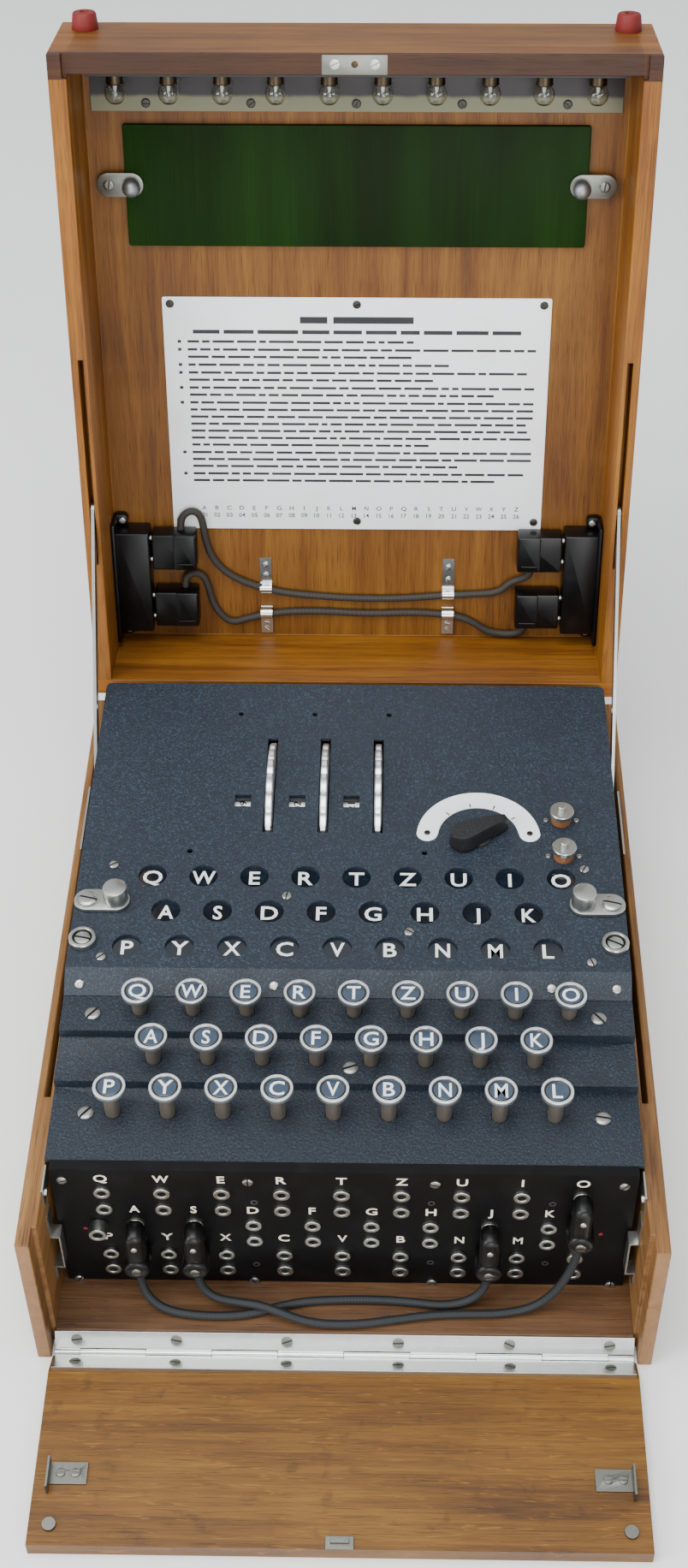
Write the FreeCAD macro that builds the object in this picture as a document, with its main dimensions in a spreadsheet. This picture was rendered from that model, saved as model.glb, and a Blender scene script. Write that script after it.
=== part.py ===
import FreeCAD, Part
import math
import os
import re
import Sketcher
from FreeCAD import Placement, Rotation, Vector

# A portable rotor cipher machine in its wooden case, stood open: the lid leans back on its
# stays and the front flap is folded down flat. Millimetres, +Z up, the front towards -Y,
# and the origin at the centre of the case's underside.

sizes = {
    # wooden case
    "case_width": 280, "case_depth": 340, "base_height": 93, "wall": 8.5, "floor_thick": 11,
    "rebate_wide": 2, "rebate_deep": 9.3, "slot_wide": 2.6, "slot_under": 8.9,
    "slot_in": 42, "slot_long": 220,
    # lid, and the hinges behind it
    "lid_height": 56.8, "lid_gap": 0.2, "lid_panel": 6.6, "lid_rail": 10, "rail_recess": 3,
    "lid_open": 101.4, "pin_out": 2.1, "knuckle": 1.9, "leaf": 1, "hinge_pin": 0.9,
    "pin_clear": 0.06, "lid_hinge_wide": 60, "lid_hinge_at": 80, "lid_leaf_high": 14,
    # front flap and its long hinge
    "flap_thick": 8, "flap_clear": 0.5, "flap_top_gap": 0.4, "flap_pin_in": 1.9,
    "flap_face": 1.7, "bevel": 60, "flap_leaf": 10.5, "hinge_end": 1, "flap_knuckle": 1.7,
    "end_knuckle": 11.6, "leaf_gap": 0.15,
    # metal frame, key deck and top cover
    "works_clear": 0.5, "works_in": 34, "back_clear": 4.5, "sheet": 1.5, "frame": 2,
    "deck_low": 100, "deck_step": 5, "step_one": -92, "step_two": -67.5, "board_over": 0.4,
    "cover_rise": 7.2, "cover_run": 11, "cover_bend": -36.5, "cover_pivot_in": 13.7,
    "cover_pivot_down": 4, "cover_pin": 1.5, "cover_corner": 3, "run_clear": 0.3,
    # keys and lamps
    "key_pitch": 24.6, "row_middle": -1, "row_shift": 4.15, "key_y_top": -55.3,
    "key_y_mid": -79.3, "key_y_low": -105.1, "key_stem": 3.4, "key_head": 7.3,
    "key_rim": 1.3, "key_dish": 0.5, "key_thick": 4.2, "key_long": 42, "key_rise_top": 14.5,
    "key_rise_mid": 17, "key_rise_low": 19.5, "guide_down": 14, "lamp_hole": 6.9,
    "lamp_y_top": 20.9, "lamp_y_mid": -1.3, "lamp_y_low": -23.4, "lamp_down": 22.5,
    "lamp_radius": 4.8,
    # rotors on their spindle
    "rotor_y": 83, "rotor_z": 78.5, "rotor_pitch": 27.1, "rotor_mid": -14.1,
    "wheel_radius": 48.5, "wheel_thick": 3.8, "drum_radius": 36, "rotor_gap": 0.5,
    "shaft": 4, "shaft_clear": 0.06, "wheel_run": 2.2, "wheel_side": 0.7,
    "window_y": 71.5, "window_size": 8, "end_drum": 20, "bracket_thick": 4,
    # switch, terminals, release levers and screws on the cover
    "switch_x": 62.5, "switch_y": 47.5, "scale_outer": 30.4, "scale_inner": 19.9,
    "scale_thick": 0.6, "knob_long": 31, "knob_wide": 14, "knob_tip": 2,
    "knob_high": 8.5, "knob_turn": 27,
    "spindle": 3, "terminal_x": 103.5, "terminal_y": 59.5, "terminal_gap": 24,
    "lever_in": 6.5, "lever_y": 3.3, "lever_long": 13.5, "lever_wide": 13, "lever_pin": 2.2,
    "lever_knob": 5.8, "lever_knob_high": 9.5, "captive_y": -20.7, "captive": 6.4,
    # plugboard, its sockets and the patch plugs
    "board_thick": 5, "board_side": 2.5, "board_gap": 0.6, "socket_pitch": 26.4,
    "socket_gap": 12.7, "socket_top": 83.9, "socket_drop": 24.4, "socket": 3.8,
    "socket_bore": 1.9, "socket_proud": 1.6, "plug_wide": 13, "plug_deep": 12.3,
    "plug_over": 6.2, "plug_under": 12.2, "plug_pin": 1.6, "plug_gap": 0.2, "patch": 2,
    # fittings inside the lid; those named _at lie that far up from the hinge side
    "strip_in": 30, "strip_rise": 17, "strip_foot": 22, "strip_thick": 1.2,
    "bulb_in": 16.75, "bulb": 5.2, "bulb_out": 10, "bulb_long": 15, "filter_long": 60.5,
    "filter_down": 6.1, "filter_in": 18, "filter_thick": 3, "clip_in": 10, "clip_long": 23,
    "clip_wide": 12, "clip_knob": 4.5,
    "holder_at": 12, "holder_long": 72, "holder_in": 20, "holder_wide": 19.7,
    "holder_high": 17, "spare_low_at": 31, "spare_high_at": 66, "spare_long": 25,
    "spare_wide": 21, "spare_thick": 13, "spare_cord": 2, "tie_x": 50, "tie_high": 5.6,
    "card_at": 75, "card_long": 131, "card_in": 32.5, "card_thick": 0.8,
    "foot_in": 12.5, "foot_down": 12.8, "foot": 6.3, "foot_high": 8,
    # lid stays
    "stay_at": 108, "stay_up": 5, "stay_long": 146, "stay_wide": 8, "stay_thick": 1.6,
    "stay_in": 5, "stay_lean": 24.6, "stay_pin": 1.5, "catch_in": 26, "catch_low": 24,
    "catch_out": 4, "catch_wide": 14, "catch_thick": 0.8, "lid_slot_at": 78,
    "lid_slot_long": 114, "lid_slot_deep": 12,
}

# Lengths and places that follow from the sizes above.
follows = {
    "inside": "case_width/2 - wall",
    "catch_front": "catch_in - case_depth/2",
    "works_width": "case_width - 2 * wall - 2 * works_clear",
    "side_out": "works_width/2 - sheet - run_clear",
    "board_face": "works_in - case_depth/2",
    "board_back": "board_face + board_thick",
    "board_wide": "works_width - 2 * board_side",
    "board_low": "floor_thick + board_gap",
    "plate_front": "board_back + 3",
    "deck_front": "board_back + run_clear",
    "deck_mid": "deck_low + deck_step",
    "deck_top": "deck_low + 2 * deck_step",
    "deck_back": "cover_bend - 2.5",
    "cover_lip": "cover_bend - cover_run",
    "cover_low": "deck_top + run_clear",
    "cover_top": "cover_low + cover_rise",
    "cover_under": "cover_top - sheet",
    "cover_back": "case_depth/2 - wall - back_clear",
    "slope_across": "sheet * sqrt(cover_run^2 + cover_rise^2) / cover_rise",
    "pivot_y": "cover_back - cover_pivot_in",
    "pivot_z": "cover_top - cover_pivot_down",
    "guide_high": "deck_low - guide_down",
    "lamp_plate": "cover_top - lamp_down",
    "drum_wide": "rotor_pitch - wheel_thick - rotor_gap",
    "wheel_slot_wide": "wheel_thick + 2 * wheel_side",
    "wheel_slot_long": "2 * sqrt(wheel_radius^2 - (cover_under - rotor_z)^2) + 2 * wheel_run",
    "lever_x": "works_width/2 - lever_in",
    "flap_width": "2 * inside + 2 * rebate_wide - 2 * flap_clear",
    "flap_long": "base_height + lid_gap + rail_recess - flap_top_gap - flap_pin_in",
    "flap_inner": "flap_thick - flap_face",
    "flap_leaf_long": "flap_width - 2 * hinge_end",
    "knuckle_pitch": "(flap_leaf_long - 2 * end_knuckle) / 8",
    "pin_y": "flap_pin_in - case_depth/2",
    "board_seat": "leaf + leaf_gap",
    "bevel_across": "board_seat / sin(bevel * 1 deg)",
    "panel": "lid_height - lid_panel + lid_gap/2",
    "strip_at": "case_depth - lid_rail - strip_in",
    "bulb_at": "strip_at + strip_foot / 2",
    "filter_at": "strip_at - filter_long - filter_down",
    "clip_at": "filter_at + filter_long/2 + 1.2",
    "clip_x": "inside - clip_in",
    "holder_x": "inside - holder_in",
    "foot_x": "case_width/2 - foot_in",
    "foot_up": "lid_height - foot_down",
    "stay_x": "case_width/2 - stay_in",
    "stay_tilt": "lid_open + stay_lean",
    "stay_top": "(stay_at + pin_out) * sin(lid_open * 1 deg) + stay_up * cos(lid_open * 1 deg)",
    "slot_deep": "stay_long * sin(stay_tilt * 1 deg) - stay_top + stay_wide/2 + slot_under",
    "slot_back": "case_depth/2 - slot_in",
    "slot_front": "slot_back - slot_long",
    "bulb_pitch": "2 * (inside - bulb_in) / 9",
    "filter_wide": "2 * (inside - filter_in)",
    "card_wide": "2 * (inside - card_in)",
    "cover_half": "works_width/2",
    "board_half": "board_wide/2",
}

doc = FreeCAD.newDocument("cipher_machine")
sheet = doc.addObject("Spreadsheet::Sheet", "Sheet")
for line, (word, number) in enumerate(sizes.items(), 1):
    sheet.set(f"A{line}", word)
    sheet.set(f"B{line}", str(number))
    sheet.setAlias(f"B{line}", word)
doc.recompute()

ACROSS, DEEP, UP = Vector(1, 0, 0), Vector(0, 1, 0), Vector(0, 0, 1)
WAYS = {"z": (UP, 0), "x": (DEEP, 90), "-x": (DEEP, -90), "y": (ACROSS, -90), "-y": (ACROSS, 90),
        "-z": (ACROSS, 180)}
nodes = {}


def cell(text):
    """An expression in the sheet's own words, such as "case_width/2 - wall"."""
    def word_or_cell(found):
        word = found[0]
        if word in follows:
            return f"({cell(follows[word])})"
        return "Sheet." + word if word in sizes else word
    return re.sub(r"[a-z_]+", word_or_cell, str(text))


def size(word):
    return float(getattr(sheet, word))


def bind(thing, **properties):
    for name, text in properties.items():
        thing.setExpression(name, cell(text))
    return thing


def seat(thing, x=0, y=0, z=0, axis=None, angle=0):
    """Places a thing at x, y, z, turned about an axis; every value may be an expression."""
    if axis:
        thing.Placement = Placement(Vector(), Rotation(axis, 1))
        thing.setExpression("Placement.Rotation.Angle", cell(f"({angle}) * 1 deg"))
    for letter, text in zip("xyz", (x, y, z)):
        thing.setExpression("Placement.Base." + letter, cell(text))
    return thing


def box(name, x, y, z, dx, dy, dz):
    thing = bind(doc.addObject("Part::Box", name), Length=dx, Width=dy, Height=dz)
    return seat(thing, x, y, z)


def rod(name, x, y, z, radius, length, way="z"):
    thing = bind(doc.addObject("Part::Cylinder", name), Radius=radius, Height=length)
    return seat(thing, x, y, z, *WAYS[way])


def cone(name, x, y, z, low, high, length, way="z"):
    thing = doc.addObject("Part::Cone", name)
    bind(thing, Radius1=low, Radius2=high, Height=length)
    return seat(thing, x, y, z, *WAYS[way])


def ball(name, x, y, z, radius):
    return seat(bind(doc.addObject("Part::Sphere", name), Radius=radius), x, y, z)


def join(name, *parts):
    thing = doc.addObject("Part::MultiFuse", name)
    thing.Shapes = list(parts)
    thing.Refine = True
    return thing


def group(name, *parts):
    """Separate solids kept together, such as a set of screws."""
    thing = doc.addObject("Part::Compound", name)
    thing.Links = list(parts)
    return thing


def cut(name, base, *tools):
    thing = doc.addObject("Part::Cut", name)
    thing.Base = base
    thing.Tool = tools[0] if len(tools) == 1 else group(name + "_tools", *tools)
    return thing


def tube(name, x, y, z, outer, inner, length, way="z"):
    return cut(name, rod(name + "_outside", x, y, z, outer, length, way),
               rod(name + "_bore", x, y, z, inner, length, way))


def outline(holder, name, plane, points):
    """A closed sketch on one of a body's own planes, each corner bound to its expressions."""
    drawing = holder.newObject("Sketcher::SketchObject", name)
    base = [item for item in holder.Origin.OriginFeatures if item.Role == plane][0]
    drawing.AttachmentSupport = (base, [""])
    drawing.MapMode = "FlatFace"
    count = len(points)
    ring = [Vector(math.cos(2 * math.pi * k / count), math.sin(2 * math.pi * k / count), 0)
            for k in range(count)]
    drawing.addGeometry([Part.LineSegment(ring[k], ring[(k + 1) % count]) for k in range(count)])
    for k in range(count):
        drawing.addConstraint(Sketcher.Constraint("Coincident", k, 2, (k + 1) % count, 1))
    for k, (right, high) in enumerate(points):
        for way, text in (("DistanceX", right), ("DistanceY", high)):
            index = drawing.addConstraint(Sketcher.Constraint(way, -1, 1, k, 1, 1.0))
            drawing.setExpression(f"Constraints[{index}]", cell(text))
    return drawing


def bar(name, points, start, length):
    """A bar along X: its section is an outline of y and z."""
    body = doc.addObject("PartDesign::Body", name)
    pad = body.newObject("PartDesign::Pad", name + "_pad")
    pad.Profile = outline(body, name + "_section", "YZ_Plane", points)
    pad.setExpression("Length", cell(length))
    body.Tip = pad
    return seat(body, start)


def turned(name, points):
    """A turned body: its outline is radius and height, revolved about Z."""
    body = doc.addObject("PartDesign::Body", name)
    spin = body.newObject("PartDesign::Revolution", name + "_turn")
    drawing = outline(body, name + "_section", "XZ_Plane", points)
    spin.Profile = drawing
    spin.ReferenceAxis = (drawing, ["V_Axis"])
    spin.Angle = 360
    body.Tip = spin
    return body


def node(name, thing):
    thing.Label = name
    nodes[name] = thing
    return thing


# ---- wooden case ----

def bevel_at(height):
    """The y of the floor's bevelled front at a height."""
    return f"pin_y + bevel_across + (({height}) - flap_pin_in) / tan(bevel * 1 deg)"


def case_floor():
    board = bar("floor_board", [(bevel_at(0), 0), ("case_depth/2 - wall", 0),
                                ("case_depth/2 - wall", "floor_thick"),
                                (bevel_at("floor_thick"), "floor_thick")], "-inside", "2 * inside")
    groove = rod("floor_groove", "-case_width/2", "pin_y", "flap_pin_in", "flap_knuckle + 0.6",
                 "case_width", "x")
    return cut("case_floor", board, groove)


def case_walls():
    outer = box("walls_outside", "-case_width/2", "-case_depth/2", 0, "case_width", "case_depth",
                "base_height")
    inner = box("walls_inside", "-inside", "-case_depth/2 - 1", -1, "2 * inside",
                "case_depth - wall + 1", "base_height + 2")
    rebate = box("front_rebate", "-inside - rebate_wide", "-case_depth/2 - 1", -1,
                 "2 * inside + 2 * rebate_wide", "rebate_deep + 1", "base_height + 2")
    slots = [box("stay_slot", f"{side} * stay_x - slot_wide/2", "slot_front",
                 "base_height - slot_deep", "slot_wide", "slot_back - slot_front", "slot_deep + 1")
             for side in (-1, 1)]
    return cut("case_walls", cut("walls_shell", outer, inner), rebate, *slots)


def flap_hinge_half(name, side, pin):
    """One half of the long front hinge, about its pin, with the leaf along +Y."""
    low = "-leaf - leaf_gap" if side < 0 else "leaf_gap"
    wide = "flap_leaf - flap_knuckle - 0.3" if side < 0 else "flap_leaf - flap_knuckle + 1.7"
    parts = [box(name + "_leaf", "-flap_leaf_long/2", "flap_knuckle + 0.3", low, "flap_leaf_long",
                 wide, "leaf")]
    for k in range(10):
        start = "-flap_leaf_long/2" if k == 0 else f"{k - 5} * knuckle_pitch"
        long = "end_knuckle" if k in (0, 9) else "knuckle_pitch"
        if (k % 2 == 0) == (side < 0):
            parts.append(rod(name + "_knuckle", start, 0, 0, "flap_knuckle", f"{long} - 0.2", "x"))
            parts.append(box(name + "_tab", start, 0, low, f"{long} - 0.2", "flap_knuckle + 1",
                             "leaf"))
    if pin:
        parts.append(rod(name + "_pin", "-flap_leaf_long/2", 0, 0, "hinge_pin",
                         "flap_leaf_long - 0.2", "x"))
        return join(name, *parts)
    bore = rod(name + "_bore", "-flap_leaf_long/2 - 1", 0, 0, "hinge_pin + pin_clear",
               "flap_leaf_long + 2", "x")
    return cut(name, join(name + "_solid", *parts), bore)


def back_hinge_half(name, middle, side, pin):
    """One half of a rear hinge, about its pin, with the leaf up or down the case's back."""
    third = "lid_hinge_wide/3"
    start = f"{middle} - lid_hinge_wide/2"
    leaf_low = "knuckle + 0.4" if side > 0 else "-lid_leaf_high"
    tab_low = 0 if side > 0 else "-knuckle - 1"
    parts = [box(name + "_leaf", start, "-pin_out", leaf_low, "lid_hinge_wide", "leaf",
                 "lid_leaf_high - knuckle - 0.4")]
    for k in (1,) if side > 0 else (0, 2):
        low = f"{start} + {k} * {third} + 0.1"
        parts.append(rod(name + "_knuckle", low, 0, 0, "knuckle", f"{third} - 0.2", "x"))
        parts.append(box(name + "_tab", low, "-pin_out", tab_low, f"{third} - 0.2", "leaf",
                         "knuckle + 1"))
    if pin:
        parts.append(rod(name + "_pin", start, 0, 0, "hinge_pin", "lid_hinge_wide", "x"))
        return join(name, *parts)
    bore = rod(name + "_bore", f"{start} - 1", 0, 0, "hinge_pin + pin_clear",
               "lid_hinge_wide + 2", "x")
    return cut(name, join(name + "_solid", *parts), bore)


def hinge_seat(thing, angle=0):
    return seat(thing, 0, "case_depth/2 + pin_out", "base_height + lid_gap/2", ACROSS, angle)


def spring_catch(side):
    """A studded plate on the side wall, over the bowed spring that holds the shut flap."""
    def plate(name, out, low, thick, wide, high):
        near = f"{out} - inside" if side < 0 else f"inside - {out} - ({thick})"
        return box(name, near, "catch_front", low, thick, wide, high)

    narrow, through = "board_face - catch_front - 1", "catch_out + catch_thick"
    spring = join("catch_spring",
                  plate("spring_foot", 0, "catch_low", "catch_thick", narrow, 11),
                  plate("spring_return", 0, "catch_low + 10", through, narrow, "catch_thick"),
                  plate("spring_bow", "catch_out", "catch_low + 10", "catch_thick", narrow, 24.8),
                  plate("spring_rise", 0, "catch_low + 34", through, narrow, "catch_thick"),
                  plate("spring_top", 0, "catch_low + 34", "catch_thick", narrow, 17))
    high = plate("catch_plate", 0, "catch_low + 59", "catch_thick", "catch_wide", 12)
    stud = rod("catch_stud", f"{side} * inside", "catch_front + 4", "catch_low + 65", 1.8, 1.8,
               "x" if side < 0 else "-x")
    return group("spring_catch", spring, join("catch_holder", high, stud))


def case_metalwork():
    """The spring catches, the stays' runners and the case halves of the rear hinges."""
    parts = [spring_catch(-1), spring_catch(1)]
    for side in (-1, 1):
        for edge in (-1, 1):
            middle = f"{side} * stay_x + {edge} * (slot_wide/2 + 0.5)"
            parts.append(box("runner_rail", f"{middle} - 0.5", "slot_back - 68", "base_height",
                             1, 44, 0.15))
        parts.append(hinge_seat(back_hinge_half("base_hinge", f"{side} * lid_hinge_at", -1, True)))
    return group("case_metalwork", *parts)


# ---- keys, lamps and the metal frame under them ----

KEY_ROWS = (("qwertzuio", 1, "key_y_top", "deck_top", "key_rise_top", "lamp_y_top"),
            ("asdfghjk", 0, "key_y_mid", "deck_mid", "key_rise_mid", "lamp_y_mid"),
            ("pyxcvbnml", -1, "key_y_low", "deck_low", "key_rise_low", "lamp_y_low"))


def key_places():
    """Letter, x, y, deck height, rise and the lamp's y for each key."""
    for letters, shift, y, floor, rise, lamp_y in KEY_ROWS:
        for k, letter in enumerate(letters):
            across = k - (len(letters) - 1) / 2
            x = f"row_middle + {shift} * row_shift + {across} * key_pitch"
            yield letter, x, y, floor, rise, lamp_y


def key(letter, x, y, top):
    """A key: its dished head in a raised rim, on a straight round stem."""
    profile = [(0, "-key_long"), ("key_stem", "-key_long"), ("key_stem", "-key_thick"),
               ("key_head - 0.8", "-key_thick"), ("key_head", "1.2 - key_thick"), ("key_head", 0),
               ("key_head - key_rim", 0), ("key_head - key_rim", "-key_dish"), (0, "-key_dish")]
    return seat(turned("key_" + letter, profile), x, y, top)


def deck_path(drop):
    """Front to back over the stepped deck, a drop below its top and behind its risers."""
    return [(f"step_one + {drop}", f"deck_low - {drop}"), (f"step_one + {drop}", f"deck_mid - {drop}"),
            (f"step_two + {drop}", f"deck_mid - {drop}"), (f"step_two + {drop}", f"deck_top - {drop}")]


def chassis():
    """The tray on the case's floor, stepped side plates, cross plates and a battery."""
    back, low, deep = "pivot_y - 4", "floor_thick + frame", "2 * side_out - 2 * frame"
    near = "frame - side_out"
    edge = [("plate_front", low), ("plate_front", "deck_low - sheet")] + deck_path("sheet")
    edge += [("cover_bend + 2.5", "deck_top - sheet"), ("cover_bend + 2.5", "cover_under - run_clear"),
             (back, "cover_under - run_clear"), (back, low)]
    parts = [box("tray", "-side_out", "plate_front", "floor_thick", "2 * side_out",
                 f"{back} - plate_front", "frame")]
    for side in (-1, 1):
        start = "-side_out" if side < 0 else "side_out - frame"
        plate = bar("side_sheet", edge, start, "frame")
        tongue = box("pivot_tongue", start, "pivot_y - 6", "pivot_z - 2.1", "frame", 6, 4.2)
        boss = rod("pivot_boss", start, "pivot_y", "pivot_z", 2.1, "frame", "x")
        pin = rod("pivot_pin", f"{side} * (side_out - frame)", "pivot_y", "pivot_z", "cover_pin",
                  "frame + run_clear + sheet", "x" if side > 0 else "-x")
        parts.append(join("side_plate", plate, tongue, boss, pin))
    guide = box("key_guide", near, "board_back + 7", "guide_high", deep,
                "key_y_top + 8 - board_back", "frame")
    holes = [rod("guide_hole", x, y, "guide_high - 1", "key_stem + run_clear", "frame + 2")
             for letter, x, y, *rest in key_places()]
    parts.append(cut("key_guide_plate", guide, *holes))
    parts.append(box("rear_plate", near, "pivot_y - 6", low, deep, "frame", 58))
    parts.append(box("front_rib", near, "board_back", low, deep, 7, 12))
    parts.append(box("front_rail", near, "board_back", "deck_low - sheet - 12", deep, 7, 12))
    parts.append(box("battery", "side_out - frame - 61.2", 45, low, 56, 66, 70))
    return group("chassis", *parts)


def slotted_head(name, x, y, z, radius, high, turn=0, way=None):
    """A cheese-head screw's head with its slot, standing on a surface."""
    head = rod(name + "_head", 0, 0, 0, radius, high)
    slot = box(name + "_slot", f"-({radius}) - 1", -0.35, f"({high}) / 2", f"2 * ({radius}) + 2",
               0.7, high)
    axis, angle = WAYS[way] if way else (UP, turn)
    return seat(cut(name, head, slot), x, y, z, axis, angle)


def keyboard_deck():
    under = [("deck_back", "deck_top - sheet")] + deck_path("sheet")[::-1]
    section = [("deck_front", "deck_low")] + deck_path("0") + [("deck_back", "deck_top")]
    under.append(("deck_front", "deck_low - sheet"))
    plate = bar("deck_plate", section + under, "-works_width/2", "works_width")
    holes = [rod("stem_hole", x, y, f"{floor} - sheet - 1", "key_stem + run_clear", "sheet + 2")
             for letter, x, y, floor, *rest in key_places()]
    screws = [slotted_head("deck_screw", x, y, z, 3.6, 1.3, turn) for x, y, z, turn in (
        ("14.5 - cover_half", -58, "deck_top", 50), ("cover_half - 16", -58, "deck_top", -50),
        (2, -83.5, "deck_mid", 20), ("15.5 - cover_half", -106, "deck_low", 50),
        ("cover_half - 16.5", -106, "deck_low", -10))]
    return group("keyboard_deck", cut("stepped_deck", plate, *holes), *screws)


def lamp_board():
    plate = box("lamp_holder", "frame - side_out", "lamp_y_low - 11", "lamp_plate",
                "2 * side_out - 2 * frame", "lamp_y_top - lamp_y_low + 20", "frame")
    lamps = [join("lamp", rod("lamp_cap", x, y, "lamp_plate + frame", "lamp_radius - 0.6", 6),
                  ball("lamp_glass", x, y, "lamp_plate + frame + 8", "lamp_radius"))
             for letter, x, key_y, floor, rise, y in key_places()]
    return group("lamp_board", plate, *lamps)


# ---- plugboard ----

def socket_places():
    """x and z of each socket, row by row, the upper one of each pair first."""
    for row, count in enumerate((9, 8, 9)):
        for k in range(count):
            across = k - (count - 1) / 2
            for lower in (0, 1):
                yield (f"row_middle + {across} * socket_pitch",
                       f"socket_top - {row} * socket_drop - {lower} * socket_gap")


def plugboard():
    board = box("board", "-board_wide/2", "board_face", "board_low", "board_wide", "board_thick",
                "deck_low + board_over - board_low")
    holes = [rod("board_hole", x, "board_face - 1", z, "socket", "board_thick + 2", "y")
             for x, z in socket_places()]
    return cut("plugboard", board, *holes)


def plugboard_sockets():
    parts = [tube("socket", x, "board_face - socket_proud", z, "socket", "socket_bore",
                  "board_thick + socket_proud", "y") for x, z in socket_places()]
    parts.append(tube("test_socket", "18.3 - board_half", "board_face - 6.5", 58, 4.1, 2.2, 6.5,
                      "y"))
    for x in ("5 - board_half", -42, 40, "board_half - 6"):
        for z in ("deck_low - 7.5", "board_low + 3.8"):
            parts.append(slotted_head("board_screw", x, "board_face", z, 2.4, 1, way="-y"))
    return group("plugboard_sockets", *parts)


def patch_plug(across, row):
    """A two-pin plug pushed into one pair of sockets, its cord leaving downwards."""
    x = f"row_middle + {across} * socket_pitch"
    high = f"socket_top - {row} * socket_drop"
    low = f"{high} - socket_gap"
    back = "board_face - socket_proud - plug_gap"
    body = box("plug_body", f"{x} - plug_wide/2", f"{back} - plug_deep", f"{low} - plug_under",
               "plug_wide", "plug_deep", "socket_gap + plug_over + plug_under")
    pins = [rod("plug_pin", x, f"{back} - 2", z, "plug_pin", 7, "y") for z in (high, low)]
    cap = rod("plug_cap", x, f"{back} - plug_deep - 1.2", f"{low} - plug_under + plug_wide/2",
              "plug_wide/2 - 1", 2.2, "y")
    return join("patch_plug", body, cap, *pins)


def patch_plugs():
    return group("patch_plugs", *[patch_plug(across, row)
                                  for across, row in ((-3.5, 1), (-2.5, 1), (2.5, 1), (4, 0))])


# ---- rotors ----

def rotor(name, place):
    """A wired drum with the notched finger wheel at its right, bored for the spindle."""
    bore, far = "shaft + shaft_clear", "drum_wide + wheel_thick"
    body = turned(name + "_body", [(bore, 0), ("drum_radius", 0), ("drum_radius", "drum_wide"),
                                   ("wheel_radius", "drum_wide"), ("wheel_radius", far), (bore, far)])
    notches = [rod(name + "_notch", f"(wheel_radius + 0.9) * cos({k} * 360 / 26 * 1 deg)",
                   f"(wheel_radius + 0.9) * sin({k} * 360 / 26 * 1 deg)", "drum_wide - 1", 2.3,
                   "wheel_thick + 2") for k in range(26)]
    left = f"rotor_mid + {place} * rotor_pitch - wheel_thick/2 - drum_wide"
    return seat(cut(name, body, *notches), left, "rotor_y", "rotor_z", DEEP, 90)


def rotor_spindle():
    """The fixed spindle between its brackets, with the plain drums at both ends."""
    left = "(rotor_mid - rotor_pitch - wheel_thick/2 - drum_wide - rotor_gap)"
    right = "(rotor_mid + rotor_pitch + wheel_thick/2 + rotor_gap)"
    parts = [rod("spindle_rod", f"{left} - end_drum - bracket_thick", "rotor_y", "rotor_z", "shaft",
                 f"{right} - {left} + 2 * end_drum + 2 * bracket_thick", "x")]
    for drum, bracket in ((f"{left} - end_drum", f"{left} - end_drum - bracket_thick"),
                          (right, f"{right} + end_drum")):
        parts.append(rod("end_drum", drum, "rotor_y", "rotor_z", "drum_radius", "end_drum", "x"))
        parts.append(box("bracket", bracket, "rotor_y - 12", "floor_thick + frame", "bracket_thick",
                         24, "rotor_z - floor_thick - frame + 10"))
    return join("rotor_spindle", *parts)


# ---- top cover and what it carries ----

def cover_section(low):
    return [("cover_lip", low), ("cover_bend", "cover_top"), ("cover_back", "cover_top"),
            ("cover_back", low)]


def rounded_back(base):
    """The cover's outer block with its two upright rear edges rounded."""
    doc.recompute()
    edges = []
    for index, edge in enumerate(base.Shape.Edges, 1):
        span = edge.BoundBox
        if span.ZLength > 1 and span.XLength < 0.01 and span.YMin > 0:
            edges.append((index, size("cover_corner"), size("cover_corner")))
    thing = doc.addObject("Part::Fillet", "cover_rounded")
    thing.Base = base
    thing.Edges = edges
    return thing


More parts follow.
